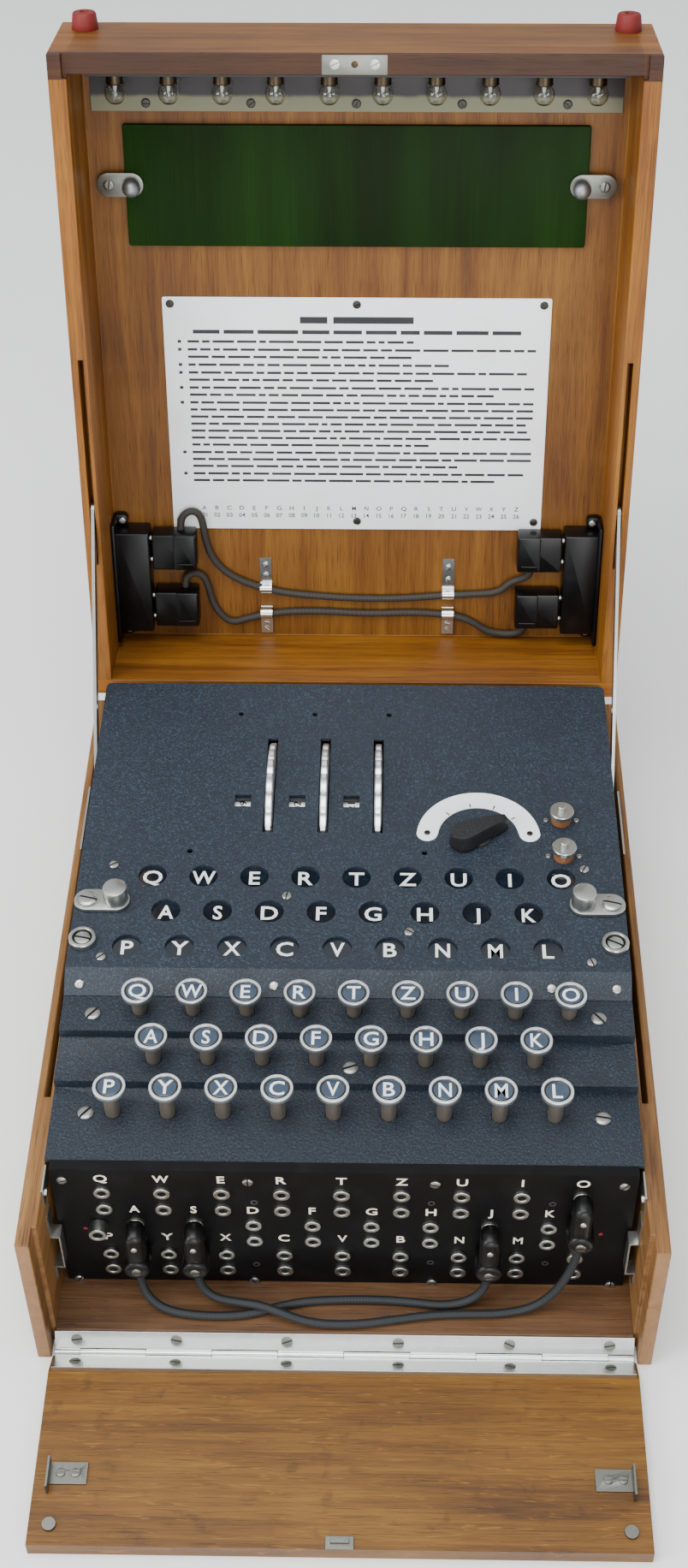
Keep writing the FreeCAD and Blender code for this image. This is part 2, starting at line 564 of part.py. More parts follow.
def top_cover():
    outer = bar("cover_outside", cover_section("cover_low"), "-works_width/2", "works_width")
    bend = "cover_lip + slope_across + (cover_rise - sheet) * cover_run / cover_rise"
    inner = bar("cover_inside", [("cover_lip + slope_across", "cover_low - 1"),
                                 ("cover_lip + slope_across", "cover_low"), (bend, "cover_under"),
                                 ("cover_back - sheet", "cover_under"),
                                 ("cover_back - sheet", "cover_low - 1")],
                "sheet - works_width/2", "works_width - 2 * sheet")
    corners = [box("corner_keep", "sheet - works_width/2" if side < 0 else
                   "works_width/2 - sheet - cover_corner", "cover_back - sheet - cover_corner",
                   "cover_low - 2", "cover_corner", "cover_corner", "cover_rise + 3")
               for side in (-1, 1)]
    rounds = [rod("corner_round", f"{side} * (works_width/2 - sheet - cover_corner)",
                  "cover_back - sheet - cover_corner", "cover_low - 3", "cover_corner - 0.3",
                  "cover_rise + 5") for side in (-1, 1)]
    inner = cut("cover_hollow", inner, cut("inner_corners", group("corner_blocks", *corners), *rounds))
    shell = cut("cover_shell", rounded_back(outer), inner)
    floor, deep = "cover_under - 1", "sheet + 2"
    tools = [rod("lamp_window", x, y, floor, "lamp_hole", deep)
             for letter, x, key_y, level, rise, y in key_places()]
    for place in (-1, 0, 1):
        middle = f"rotor_mid + {place} * rotor_pitch"
        tools.append(box("wheel_slot", f"{middle} - wheel_slot_wide/2",
                         "rotor_y - wheel_slot_long/2", floor, "wheel_slot_wide", "wheel_slot_long",
                         deep))
        tools.append(box("rotor_window", f"{middle} - wheel_thick/2 - drum_wide/2 - window_size/2",
                         "window_y - window_size/2", floor, "window_size", "window_size", deep))
    for x, y in ((-58.7, "cover_back - 23"), (-20.4, "cover_back - 23"),
                 (18.2, "cover_back - 23"), (-78.4, 37), (36, 37)):
        tools.append(rod("small_hole", x, y, floor, 1.4, deep))
    tools.append(rod("switch_hole", "switch_x", "switch_y", floor, "spindle + run_clear", deep))
    for side in (-1, 1):
        tools.append(rod("lever_hole", f"{side} * lever_x", "lever_y", floor, "lever_pin + run_clear",
                         deep))
        tools.append(rod("pivot_hole", f"{side} * (works_width/2 - sheet - 1)", "pivot_y", "pivot_z",
                         "cover_pin + shaft_clear", "sheet + 2", "x" if side > 0 else "-x"))
    return cut("top_cover", shell, *tools)


def terminal(y):
    """A binding post: an insulating bush, a milled nut and the post's tip."""
    nut = join("terminal_nut", rod("terminal_disc", "terminal_x", y, "cover_top + 4.5", 6, 3),
               rod("terminal_tip", "terminal_x", y, "cover_top + 7", 2.2, 3.2))
    return group("terminal", rod("terminal_bush", "terminal_x", y, "cover_top", 5, 4.5), nut)


def cover_fittings():
    """The letter strip under the lamp windows, the switch's scale, terminals and screws."""
    strip = box("letter_strip", "12 - cover_half", "lamp_y_low - 10", "cover_under - 1",
                "2 * cover_half - 24",
                "lamp_y_top - lamp_y_low + 18", 1)
    ring = tube("scale_ring", "switch_x", "switch_y", "cover_top", "scale_outer", "scale_inner",
                "scale_thick")
    below = box("scale_cut", "switch_x - scale_outer - 1", "switch_y - scale_outer - 1",
                "cover_top - 1", "2 * scale_outer + 2", "scale_outer + 5", "scale_thick + 2")
    parts = [strip, cut("switch_scale", ring, below), terminal("terminal_y"),
             terminal("terminal_y - terminal_gap")]
    for x, y, turn in (("16.5 - cover_half", 27.2, 30), ("cover_half - 18", 27, 60),
                       (-30, 8.2, 80), (28.4, -13.6, -30), ("cover_half - 18", -31, -70),
                       ("16 - cover_half", -30.5, 40)):
        parts.append(slotted_head("cover_screw", x, y, "cover_top", 2.1, 1, turn))
    for aside in (-7.5, 7.5):
        for y in ("terminal_y", "terminal_y - terminal_gap"):
            parts.append(slotted_head("terminal_screw", f"terminal_x + {aside}", y, "cover_top", 1.3,
                                      0.7))
        parts.append(slotted_head("scale_screw", f"switch_x + {aside / 7.5} * 25.2", "switch_y + 5.6",
                                  "cover_top + scale_thick", 1.5, 0.6))
    lean = math.degrees(math.atan2(size("cover_rise"), size("cover_run")))
    for x in ("7 - cover_half", -34, "cover_half - 37", "cover_half - 7"):
        parts.append(seat(rod("lip_screw", 0, 0, 0, 2.1, 0.9), x, "cover_bend - 0.6 * cover_run",
                          "cover_top - 0.6 * cover_rise", ACROSS, lean))
    for side in (-1, 1):
        parts.append(slotted_head("captive_screw", f"{side} * lever_x", "captive_y", "cover_top",
                                  "captive", 3.4, 10 * side))
    return group("cover_fittings", *parts)


def switch_knob():
    """A pointer grip, its round heel tapering to a narrow tip, on the switch's spindle."""
    base, heel = "scale_thick + 0.4", "(knob_long - knob_wide) / 2"
    taper = bar("grip_taper", [("knob_wide/2", heel), ("-knob_wide/2", heel),
                               ("-knob_tip", "-knob_long/2"), ("knob_tip", "-knob_long/2")],
                0, "knob_high")
    grip = seat(taper, 0, 0, base, DEEP, -90)
    end = rod("grip_heel", f"-{heel}", 0, base, "knob_wide/2", "knob_high")
    stem = rod("switch_spindle", 0, 0, "-sheet - 3", "spindle", f"{base} + sheet + 4")
    return seat(join("switch_knob", grip, end, stem), "switch_x", "switch_y", "cover_top", UP,
                "knob_turn")


def release_lever(name, side):
    """A flat lever turned by its knob, pivoted on a slotted screw."""
    arm = box("lever_arm", 0, "-lever_wide/2", 0.3, "lever_long", "lever_wide", 1.8)
    ends = [rod("lever_end", x, 0, 0.3, "lever_wide/2", 1.8) for x in (0, "lever_long")]
    knob = rod("knurled_knob", "lever_long", 0, 1.6, "lever_knob", "lever_knob_high")
    stem = rod("lever_spindle", 0, 0, "-sheet - 2", "lever_pin", "sheet + 3")
    head = slotted_head("lever_screw", 0, 0, 1.7, 4.4, 1.6, 25)
    return seat(join(name, arm, *ends, knob, stem, head), f"{side} * lever_x", "lever_y",
                "cover_top", UP, 0 if side < 0 else 180)


# ---- front flap, folded down flat ----

def lay_flat(thing, angle=90):
    return seat(thing, 0, "pin_y", "flap_pin_in", ACROSS, angle)


def flap_board():
    foot = "0.3"
    board = bar("flap_plank", [("-flap_face", foot),
                               (f"{foot} / tan(bevel * 1 deg) - bevel_across", foot),
                               ("flap_inner", "(flap_inner + bevel_across) * tan(bevel * 1 deg)"),
                               ("flap_inner", "flap_long"), ("-flap_face", "flap_long")],
                "-flap_width/2", "flap_width")
    groove = rod("flap_groove", "-flap_width/2 - 1", 0, 0, "flap_knuckle + 0.25", "flap_width + 2",
                 "x")
    return lay_flat(cut("flap_board", board, groove))


def flap_catch(side):
    """An angle plate on the flap's inside that the case's spring catch holds."""
    start = "-flap_width/2 + 6" if side < 0 else "flap_width/2 - 23"
    edge = start if side < 0 else "flap_width/2 - 7"
    plate = box("flap_catch_plate", start, "flap_inner", "flap_long - 37", 17, 1, 10)
    leg = box("flap_catch_leg", edge, "flap_inner", "flap_long - 37", 1, 7, 14)
    heads = [slotted_head("flap_catch_screw", f"{start} + {step}", "flap_inner + 1",
                          "flap_long - 32", 2, 0.8, way="y") for step in (5.5, 12)]
    return join("flap_catch", plate, leg, *heads)


def flap_fittings():
    hinge = seat(flap_hinge_half("flap_hinge", 1, False), 0, 0, 0, ACROSS, "bevel")
    lock = box("lock_plate", -6, "flap_inner", "flap_long - 5.5", 12, 0.8, 5.5)
    catch = box("lock_bolt", -4, "flap_inner", "flap_long - 4", 8, 2.4, 2)
    studs = [rod("corner_stud", f"{side} * (flap_width/2 - 9)", "flap_inner", "flap_long - 9", 3, 1.6,
                 "y") for side in (-1, 1)]
    return lay_flat(group("flap_fittings", hinge, join("flap_lock", lock, catch), flap_catch(-1),
                          flap_catch(1), *studs))


def flap_hinge_leaf():
    return lay_flat(flap_hinge_half("flap_hinge_leaf", -1, True), "bevel")


# ---- lid, modelled shut about the rear hinges' pins and laid back ----

def up(along):
    """y of a line across the shut lid, so far from the case's back."""
    return f"-({along}) - pin_out"


def lay_back(thing):
    return hinge_seat(thing, "-lid_open")


def lid_boards():
    outer = box("lid_outside", "-case_width/2", up("case_depth"), "lid_gap/2", "case_width",
                "case_depth", "lid_height")
    inner = box("lid_inside", "-inside", up("case_depth - lid_rail"), -1, "2 * inside",
                "case_depth - lid_rail - wall", "panel + 1")
    recess = box("rail_recess", "-inside - rebate_wide", up("case_depth + 1"), -1,
                 "2 * inside + 2 * rebate_wide", "lid_rail + 2", "rail_recess + lid_gap/2 + 1")
    slots = [box("lid_slot", f"{side} * stay_x - slot_wide/2", up("lid_slot_at + lid_slot_long"), -1,
                 "slot_wide", "lid_slot_long", "lid_slot_deep + 1") for side in (-1, 1)]
    return lay_back(cut("lid_boards", outer, inner, recess, *slots))


def bulb_places():
    return [f"{k - 4.5} * bulb_pitch" for k in range(10)]


def lamp_strip():
    """A metal angle: a foot on the panel, and a shelf with a hole for each spare lamp's cap."""
    left, wide = "3.5 - inside", "2 * inside - 7"
    foot = box("strip_foot", left, up("strip_at + strip_foot"), "panel - strip_thick", wide,
               "strip_foot", "strip_thick")
    shelf = box("strip_shelf", left, up("strip_at + strip_foot"), "panel - strip_rise", wide,
                "strip_thick", "strip_rise")
    holes = [rod("strip_hole", x, up("strip_at + strip_foot + 1"), "panel - bulb_out",
                 "bulb - 1", "strip_thick + 2", "y") for x in bulb_places()]
    return cut("lamp_strip", join("strip_sheet", foot, shelf), *holes)


def cord_tie(x, low, high, at):
    """A saddle block with the channel that one spare cord lies in."""
    block = box("tie_block", f"{x} - 3.2", up(high), "panel - tie_high", 6.4, f"({high}) - ({low})",
                "tie_high")
    channel = box("tie_channel", f"{x} - 4", up(f"{at} + spare_cord + 2"), "panel - 2 * spare_cord - 0.6",
                  8, "2 * spare_cord + 4", "2 * spare_cord + 2")
    return cut("cord_tie", block, channel)


def lid_fittings():
    parts = [back_hinge_half("lid_hinge", f"{side} * lid_hinge_at", 1, False) for side in (-1, 1)]
    parts.append(lamp_strip())
    for k in (-1, -0.5, 0, 0.5, 1):
        parts.append(rod("strip_screw", f"{k} * (inside - 30)", up("strip_at + 4"),
                         "panel - strip_thick", 2.2, 1, "-z"))
    parts.append(box("catch_plate_lid", -15, up("case_depth - 0.5"), "rail_recess + lid_gap/2 - 0.05",
                     30, 9, 0.05))
    parts.append(box("instruction_card", "-card_wide/2", up("card_at + card_long"),
                     "panel - card_thick", "card_wide", "card_long", "card_thick"))
    for x in ("4 - card_wide/2", 0, "card_wide/2 - 4"):
        for at in ("card_at + 5", "card_at + card_long - 3.5"):
            parts.append(rod("card_screw", x, up(at), "panel - card_thick", 2.2, 1, "-z"))
    parts.append(cord_tie("-tie_x", 30.5, 57, 39))
    parts.append(cord_tie("tie_x", 30.5, 57, 36))
    for side in (-1, 1):
        parts.append(cord_tie(f"{side} * tie_x", 10.5, 29.5, 23.6))
        parts.append(rod("stay_pivot", f"{side} * stay_x - slot_wide/2", up("stay_at"),
                         "stay_up + lid_gap/2", "stay_pin", "slot_wide", "x"))
    return lay_back(group("lid_fittings", *parts))


def spare_bulbs():
    lamps = []
    for x in bulb_places():
        cap = rod("bulb_cap", x, up("bulb_at + bulb_long"), "panel - bulb_out", "bulb - 1.2",
                  "bulb_long - 4", "y")
        glass = ball("bulb_glass", x, up("bulb_at"), "panel - bulb_out", "bulb")
        lamps.append(join("spare_bulb", cap, glass))
    return lay_back(group("spare_bulbs", *lamps))


def filter_panel():
    return lay_back(group("filter_panel", box("filter_plate", "-filter_wide/2",
                                              up("filter_at + filter_long"),
                                              "panel - filter_thick", "filter_wide", "filter_long",
                                              "filter_thick")))


def filter_clip(name, side):
    """A turn clip: a spacer and screw on the panel, an arm over the filter and a ball knob."""
    rise = "filter_thick + 0.3"
    arm = box("clip_arm", -6, "-clip_wide/2", rise, "clip_long", "clip_wide", 1.4)
    parts = [rod("clip_spacer", 0, 0, 0, 3.5, rise), arm,
             rod("clip_neck", 11.5, 0, f"{rise} + 1", 1.6, 4), ball("clip_ball", 11.5, 0,
                                                                      f"{rise} + 6.5", "clip_knob"),
             slotted_head("clip_screw", 0, 0, f"{rise} + 1", 2.6, 1.6, 10)]
    hung = seat(join(name + "_solid", *parts), 0, 0, 0, ACROSS, 180)
    turned_in = seat(group(name + "_turned", hung), f"{side} * clip_x", up("clip_at"), "panel", UP,
                     0 if side < 0 else 180)
    return lay_back(group(name, turned_in))


def spare_plugs():
    """Two moulded holders with spare patch plugs pushed into them from the middle."""
    parts = []
    for side in (-1, 1):
        near = "holder_x" if side > 0 else "-holder_x - holder_wide"
        start = "holder_x - spare_long" if side > 0 else "-holder_x"
        parts.append(box("plug_holder", near, up("holder_at + holder_long"), "panel - holder_high",
                         "holder_wide", "holder_long", "holder_high"))
        for at in ("spare_low_at", "spare_high_at"):
            parts.append(box("spare_plug", start, up(f"{at} + spare_wide/2"),
                             "panel - 1.5 - spare_thick", "spare_long", "spare_wide",
                             "spare_thick"))
    return lay_back(group("spare_plugs", *parts))


def lid_feet():
    feet = [cone("lid_foot", f"{side} * foot_x", up("case_depth"), "foot_up", "foot", "foot - 1",
                 "foot_high", "-y") for side in (-1, 1)]
    return lay_back(group("lid_feet", *feet))


def stay(name, side):
    """A flat strip pivoted in the lid's rim, its far end running in the case's side wall."""
    strip = box("stay_strip", "-stay_thick/2", 0, "-stay_wide/2", "stay_thick", "stay_long",
                "stay_wide")
    ends = [rod("stay_end", "-stay_thick/2", y, 0, "stay_wide/2", "stay_thick", "x")
            for y in (0, "stay_long")]
    rivet = rod("stay_rivet", "0.1 - slot_wide/2", "stay_long * 0.7", 0, 2.2, "slot_wide - 0.2", "x")
    bore = rod("stay_bore", -2, 0, 0, "stay_pin + pin_clear", 4, "x")
    strap = cut(name + "_strap", join(name + "_solid", strip, *ends, rivet), bore)
    lean = seat(strap, f"{side} * stay_x", up("stay_at"), "stay_up + lid_gap/2", ACROSS,
                "-stay_lean")
    return lay_back(group(name, lean))


# ---- cords ----

def cord(name, points, radius):
    """A round cord along straight runs joined by tangent arcs."""
    points = [Vector(*point) for point in points]
    edges, start, tightest = [], points[0], 1e9
    for before, corner, after in zip(points, points[1:], points[2:]):
        come, go = before - corner, after - corner
        half_turn = (math.pi - come.getAngle(go)) / 2
        reach = 0.45 * min(come.Length, go.Length)
        bend = reach / math.tan(half_turn)
        tightest = min(tightest, bend)
        come.normalize()
        go.normalize()
        first, last = corner + come * reach, corner + go * reach
        middle = (come + go).normalize()
        centre = corner + middle * math.hypot(reach, bend)
        edges.append(Part.LineSegment(start, first).toShape())
        edges.append(Part.Arc(first, centre - middle * bend, last).toShape())
        start = last
    edges.append(Part.LineSegment(start, points[-1]).toShape())
    path = Part.Wire(edges)
    ring = Part.Wire(Part.Circle(points[0], points[1] - points[0], radius).toShape())
    pipe = path.makePipeShell([ring], True, False)
    expected = math.pi * radius ** 2 * path.Length
    print(f"{name}: length {path.Length:.0f}, tightest radius {tightest:.1f}, "
          f"volume over section times length {pipe.Volume / expected:.4f}")
    return pipe


# the routes are laid out for holders this far aside and a plugboard face at this y
SPARE_HOLDER, PATCH_FACE = 111.5, -136


def loose_cord(name, points):
    moved = size("works_in") - size("case_depth") / 2 - PATCH_FACE
    points = [(x, y + moved, z) for x, y, z in points]
    thing = doc.addObject("Part::Feature", name)
    thing.Shape = cord(name, points, size("patch"))
    return thing


def spare_cords():
    """The spare plugs' two cords across the foot of the lid, through the saddle blocks."""
    floor = size("lid_height") - size("lid_panel") + size("lid_gap") / 2
    routes = (
        ("upper_cord", [(-95, 76.5, 4.6), (-95, 81, 4.6), (-93, 85, 4), (-89, 87, 3.6),
                        (-85.2, 85.4, 3.4), (-83.2, 81, 3.3), (-82.4, 71, 3), (-79.4, 59, 2.7),
                        (-72, 49, 2.5), (-60, 42, 2.4),
                        (-42, 36.6, 2.3), (-20, 34.4, 2.3), (2, 33.2, 2.3), (24, 33.4, 2.3),
                        (44, 35.2, 2.3), (62, 36.4, 2.3), (77.6, 37.4, 2.4), (84, 44.4, 2.6),
                        (91.2, 47.4, 3.8), (94.7, 51, 4.6), (94.7, 55.5, 4.6)]),
        ("lower_cord", [(-94, 41.5, 4.6), (-94, 45.6, 4.6), (-91.6, 48.6, 4), (-87.6, 49.2, 3.4),
                        (-83.6, 46.6, 2.9), (-81.4, 40, 2.6), (-80, 32, 2.4), (-76.6, 24, 2.3),
                        (-69.6, 17, 2.3), (-60, 20.6, 2.3),
                        (-42, 24.6, 2.3), (-20, 25.2, 2.3), (6, 23.6, 2.3), (30, 24.8, 2.3),
                        (50, 23.6, 2.3), (62.5, 20.2, 2.3), (71, 13.4, 2.3), (80, 11.4, 2.4),
                        (88, 12.2, 3.4), (92.5, 15.8, 4.6), (92.5, 20.5, 4.6)]))
    cords, moved = [], size("case_width") / 2 - size("wall") - size("holder_in") - SPARE_HOLDER
    for name, route in routes:
        points = [(x + math.copysign(moved, x) * (abs(x) > 65), -u - size("pin_out"), floor - down)
                  for x, u, down in route]
        thing = doc.addObject("Part::Feature", name)
        thing.Shape = cord(name, points, size("spare_cord"))
        cords.append(thing)
    return lay_back(group("spare_cords", *cords))


PATCH_A = [(-93.4, -143.5, 34.6), (-93.4, -143.5, 27.2), (-91.6, -147, 19.5), (-86, -151, 14.8),
           (-77, -154, 13.2), (-62, -155.6, 13.2), (-46, -155, 13.2), (-33, -151, 13.2),
           (-20, -147.5, 13.2), (-2, -146.2, 13.2), (16, -146, 13.2), (31, -147, 13.2),
           (42, -148.5, 13.2), (51, -148.3, 14), (58.6, -147, 16.6), (63.4, -145.2, 21.4),
           (65, -143.5, 27.8), (65, -143.5, 34.6)]
PATCH_B = [(-67, -143.5, 34.6), (-67, -143.5, 28), (-65, -145.8, 20.6), (-58.5, -148.4, 16.4),
           (-48, -150, 16.2), (-39, -152, 17.6), (-30, -155, 17), (-20, -157.6, 14.2),
           (-8, -159.1, 13.2), (8, -158.6, 13.2), (24, -156, 13.2), (40, -153.5, 13.2),
           (56, -152.8, 13.2), (72, -152.5, 13.2), (86, -150.5, 15.4), (95, -148.5, 24),
           (101, -146, 36), (104.6, -143.5, 48.4), (104.6, -143.5, 59)]


# ---- every node ----

node("case_floor", case_floor())
node("case_walls", case_walls())
node("case_metalwork", case_metalwork())
node("flap_hinge_leaf", flap_hinge_leaf())
node("flap_board", flap_board())
node("flap_fittings", flap_fittings())
node("chassis", chassis())
node("keyboard_deck", keyboard_deck())
for letter, x, y, floor, rise, lamp_y in key_places():
    node("key_" + letter, key(letter, x, y, f"{floor} + {rise}"))
node("lamp_board", lamp_board())
node("plugboard", plugboard())
node("plugboard_sockets", plugboard_sockets())
node("patch_plugs", patch_plugs())
node("patch_cord_a", loose_cord("patch_cord_a", PATCH_A))
node("patch_cord_b", loose_cord("patch_cord_b", PATCH_B))
node("rotor_spindle", rotor_spindle())
node("rotor_left", rotor("rotor_left", -1))
node("rotor_middle", rotor("rotor_middle", 0))
node("rotor_right", rotor("rotor_right", 1))
node("top_cover", top_cover())
node("cover_fittings", cover_fittings())
node("switch_knob", switch_knob())
node("release_lever_left", release_lever("release_lever_left", -1))
node("release_lever_right", release_lever("release_lever_right", 1))
node("lid_boards", lid_boards())
node("lid_fittings", lid_fittings())
node("spare_bulbs", spare_bulbs())
node("filter_panel", filter_panel())
node("filter_clip_left", filter_clip("filter_clip_left", -1))
node("filter_clip_right", filter_clip("filter_clip_right", 1))
node("spare_plugs", spare_plugs())
node("spare_cords", spare_cords())
node("lid_feet", lid_feet())
node("stay_left", stay("stay_left", -1))
node("stay_right", stay("stay_right", 1))

doc.recompute()
for thing in doc.Objects:
    if "Invalid" in thing.State or "Error" in thing.State:
        raise RuntimeError(f"{thing.Label} failed to compute")
os.makedirs("parts", exist_ok=True)
for name, thing in nodes.items():
    if thing.Shape.isNull() or not thing.Shape.isValid():
        raise RuntimeError(f"{name} has no valid shape")
    if thing.Label != name:
        raise RuntimeError(f"{name} is labelled {thing.Label}")
for name, thing in nodes.items():
    thing.Shape.exportStep(f"parts/{name}.step")
print(len(nodes), "nodes written")
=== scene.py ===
import math
import random

import bpy
import bmesh
from mathutils import Matrix, Vector


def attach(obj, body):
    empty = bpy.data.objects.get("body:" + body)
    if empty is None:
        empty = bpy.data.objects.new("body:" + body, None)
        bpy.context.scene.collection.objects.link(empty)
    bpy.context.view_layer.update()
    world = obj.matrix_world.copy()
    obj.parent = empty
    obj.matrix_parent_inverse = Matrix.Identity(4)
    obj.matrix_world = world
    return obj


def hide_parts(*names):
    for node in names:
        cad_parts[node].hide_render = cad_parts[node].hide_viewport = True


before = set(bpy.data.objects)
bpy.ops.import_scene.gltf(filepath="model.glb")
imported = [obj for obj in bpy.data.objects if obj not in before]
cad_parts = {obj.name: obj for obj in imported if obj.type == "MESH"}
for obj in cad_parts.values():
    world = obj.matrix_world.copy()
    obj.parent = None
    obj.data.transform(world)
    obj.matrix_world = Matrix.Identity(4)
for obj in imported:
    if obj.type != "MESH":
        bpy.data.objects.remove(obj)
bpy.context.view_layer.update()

random.seed(11)

# A portable rotor cipher machine in its open wooden case. Shapes are modelled in millimetres
# and scaled to metres when they become a piece.


# places and turns

def turn(degrees, axis):
    return Matrix.Rotation(math.radians(degrees), 4, axis)


def move(x, y, z=0.0):
    return Matrix.Translation((x, y, z))


def stretch(x, y, z):
    return Matrix.Diagonal((x, y, z, 1))


def add(name, data):
    thing = bpy.data.objects.new(name, data)
    bpy.context.scene.collection.objects.link(thing)
    return thing


lidFoot, lidLean = (0, 221.823, 85.216), 78.6  # where the lid's panel starts, its slope
coverTop = 117.5
onTop = Matrix()  # x, y, z as they are
onBoard = move(0, -136, 0) @ turn(90, "X")  # x, height, out of the plugboard
onLid = move(*lidFoot) @ turn(lidLean, "X")  # x, up the lid, out of its panel
onCaseLeaf = move(0, -168.1, 1.9) @ turn(60, "X")  # x, up the hinge leaf, outwards
onFlapLeaf = move(0, -168.1, 1.9) @ turn(180, "Z") @ turn(30, "X")

# letters, steps to the right, y and top of the keys, y of the lamps, height on the plugboard
keyRows = (("QWERTZUIO", 1, -55.3, 124.5, 20.9, 93.8),
           ("ASDFGHJK", 0, -79.3, 122, -1.3, 70.3),
           ("PYXCVBNML", -1, -105.1, 119.5, -23.4, 48.2))
keyGrid = {"middle": -1, "rowStep": 4.15, "pitch": 24.6, "boardPitch": 26.4, "lampTop": 116.0}


def keyPlaces():
    # each letter with the places of its key, its lamp and its mark on the plugboard
    middle, rowStep, pitch, boardPitch, lampTop = keyGrid.values()
    for letters, steps, y, top, lampY, letterZ in keyRows:
        for k, letter in enumerate(letters):
            across = k - (len(letters) - 1) / 2
            x = middle + rowStep * steps + pitch * across
            yield (letter, (x, y, top), (x, lampY, lampTop),
                   (middle + boardPitch * across, letterZ))


# camera, light and floor

view = {"place": (0.0179, -0.6564, 0.8718), "down": 44.608, "turn": 1.233, "roll": -0.386,
        "lens": 48.256, "shift": (-0.00772, -0.02182)}


def makeCamera():
    lens = bpy.data.cameras.new("camera")
    lens.sensor_fit, lens.sensor_height, lens.lens = "VERTICAL", 36, view["lens"]
    lens.shift_x, lens.shift_y = view["shift"]
    lens.clip_start, lens.clip_end = 0.02, 30
    camera = add("camera", lens)
    camera.matrix_world = (Matrix.Translation(view["place"]) @ turn(view["turn"], "Z")
                           @ turn(90 - view["down"], "X") @ turn(view["roll"], "Z"))
    bpy.context.scene.camera = camera


studio = {
    "lamps": (("overhead", (-0.25, -0.25, 1.75), (0.0, 0.0, 0.1), 1.5, 30),
              ("window", (-1.5, -0.9, 1.1), (0.0, 0.0, 0.15), 1.1, 24),
              ("front", (0.3, -1.9, 0.8), (0.0, 0.0, 0.1), 1.2, 22)),
    "sky": (0.93, 0.96, 1.0), "skyStrength": 0.85, "floor": (0.92, 0.92, 0.91),
}


def makeLamps():
    for name, place, target, size, power in studio["lamps"]:
        lamp = bpy.data.lights.new(name, "AREA")
        lamp.shape, lamp.size, lamp.energy = "DISK", size, power
        holder = add(name, lamp)
        aim = (Vector(target) - Vector(place)).to_track_quat("-Z", "Y")
        holder.matrix_world = Matrix.Translation(place) @ aim.to_matrix().to_4x4()
    world = bpy.data.worlds.new("studio")
    world.use_nodes = True
    sky = world.node_tree.nodes["Background"]
    sky.inputs["Color"].default_value = (*studio["sky"], 1)
    sky.inputs["Strength"].default_value = studio["skyStrength"]
    bpy.context.scene.world = world


makeCamera()
makeLamps()
print("camera and light set")


# shader building: values add their own Math nodes, everything else comes from Finish.node

class Value:
    def __init__(self, finish, socket):
        self.finish, self.socket = finish, socket

    def math(self, operation, *values):
        return self.finish.node("Math", {"operation": operation}, dict(enumerate(values)))

    def __add__(self, other):
        return self.math("ADD", self, other)

    def __sub__(self, other):
        return self.math("SUBTRACT", self, other)

    def __rsub__(self, other):
        return self.math("SUBTRACT", other, self)

    def __mul__(self, other):
        return self.math("MULTIPLY", self, other)

    def __gt__(self, other):
        return self.math("GREATER_THAN", self, other)

    def __lt__(self, other):
        return self.math("LESS_THAN", self, other)

    __radd__, __rmul__ = __add__, __mul__

    def size(self):
        return self.math("ABSOLUTE", self)

    def between(self, low, high):
        return self.finish.node("MapRange", {"interpolation_type": "SMOOTHSTEP"},
                                {"Value": self, "From Min": low, "From Max": high})


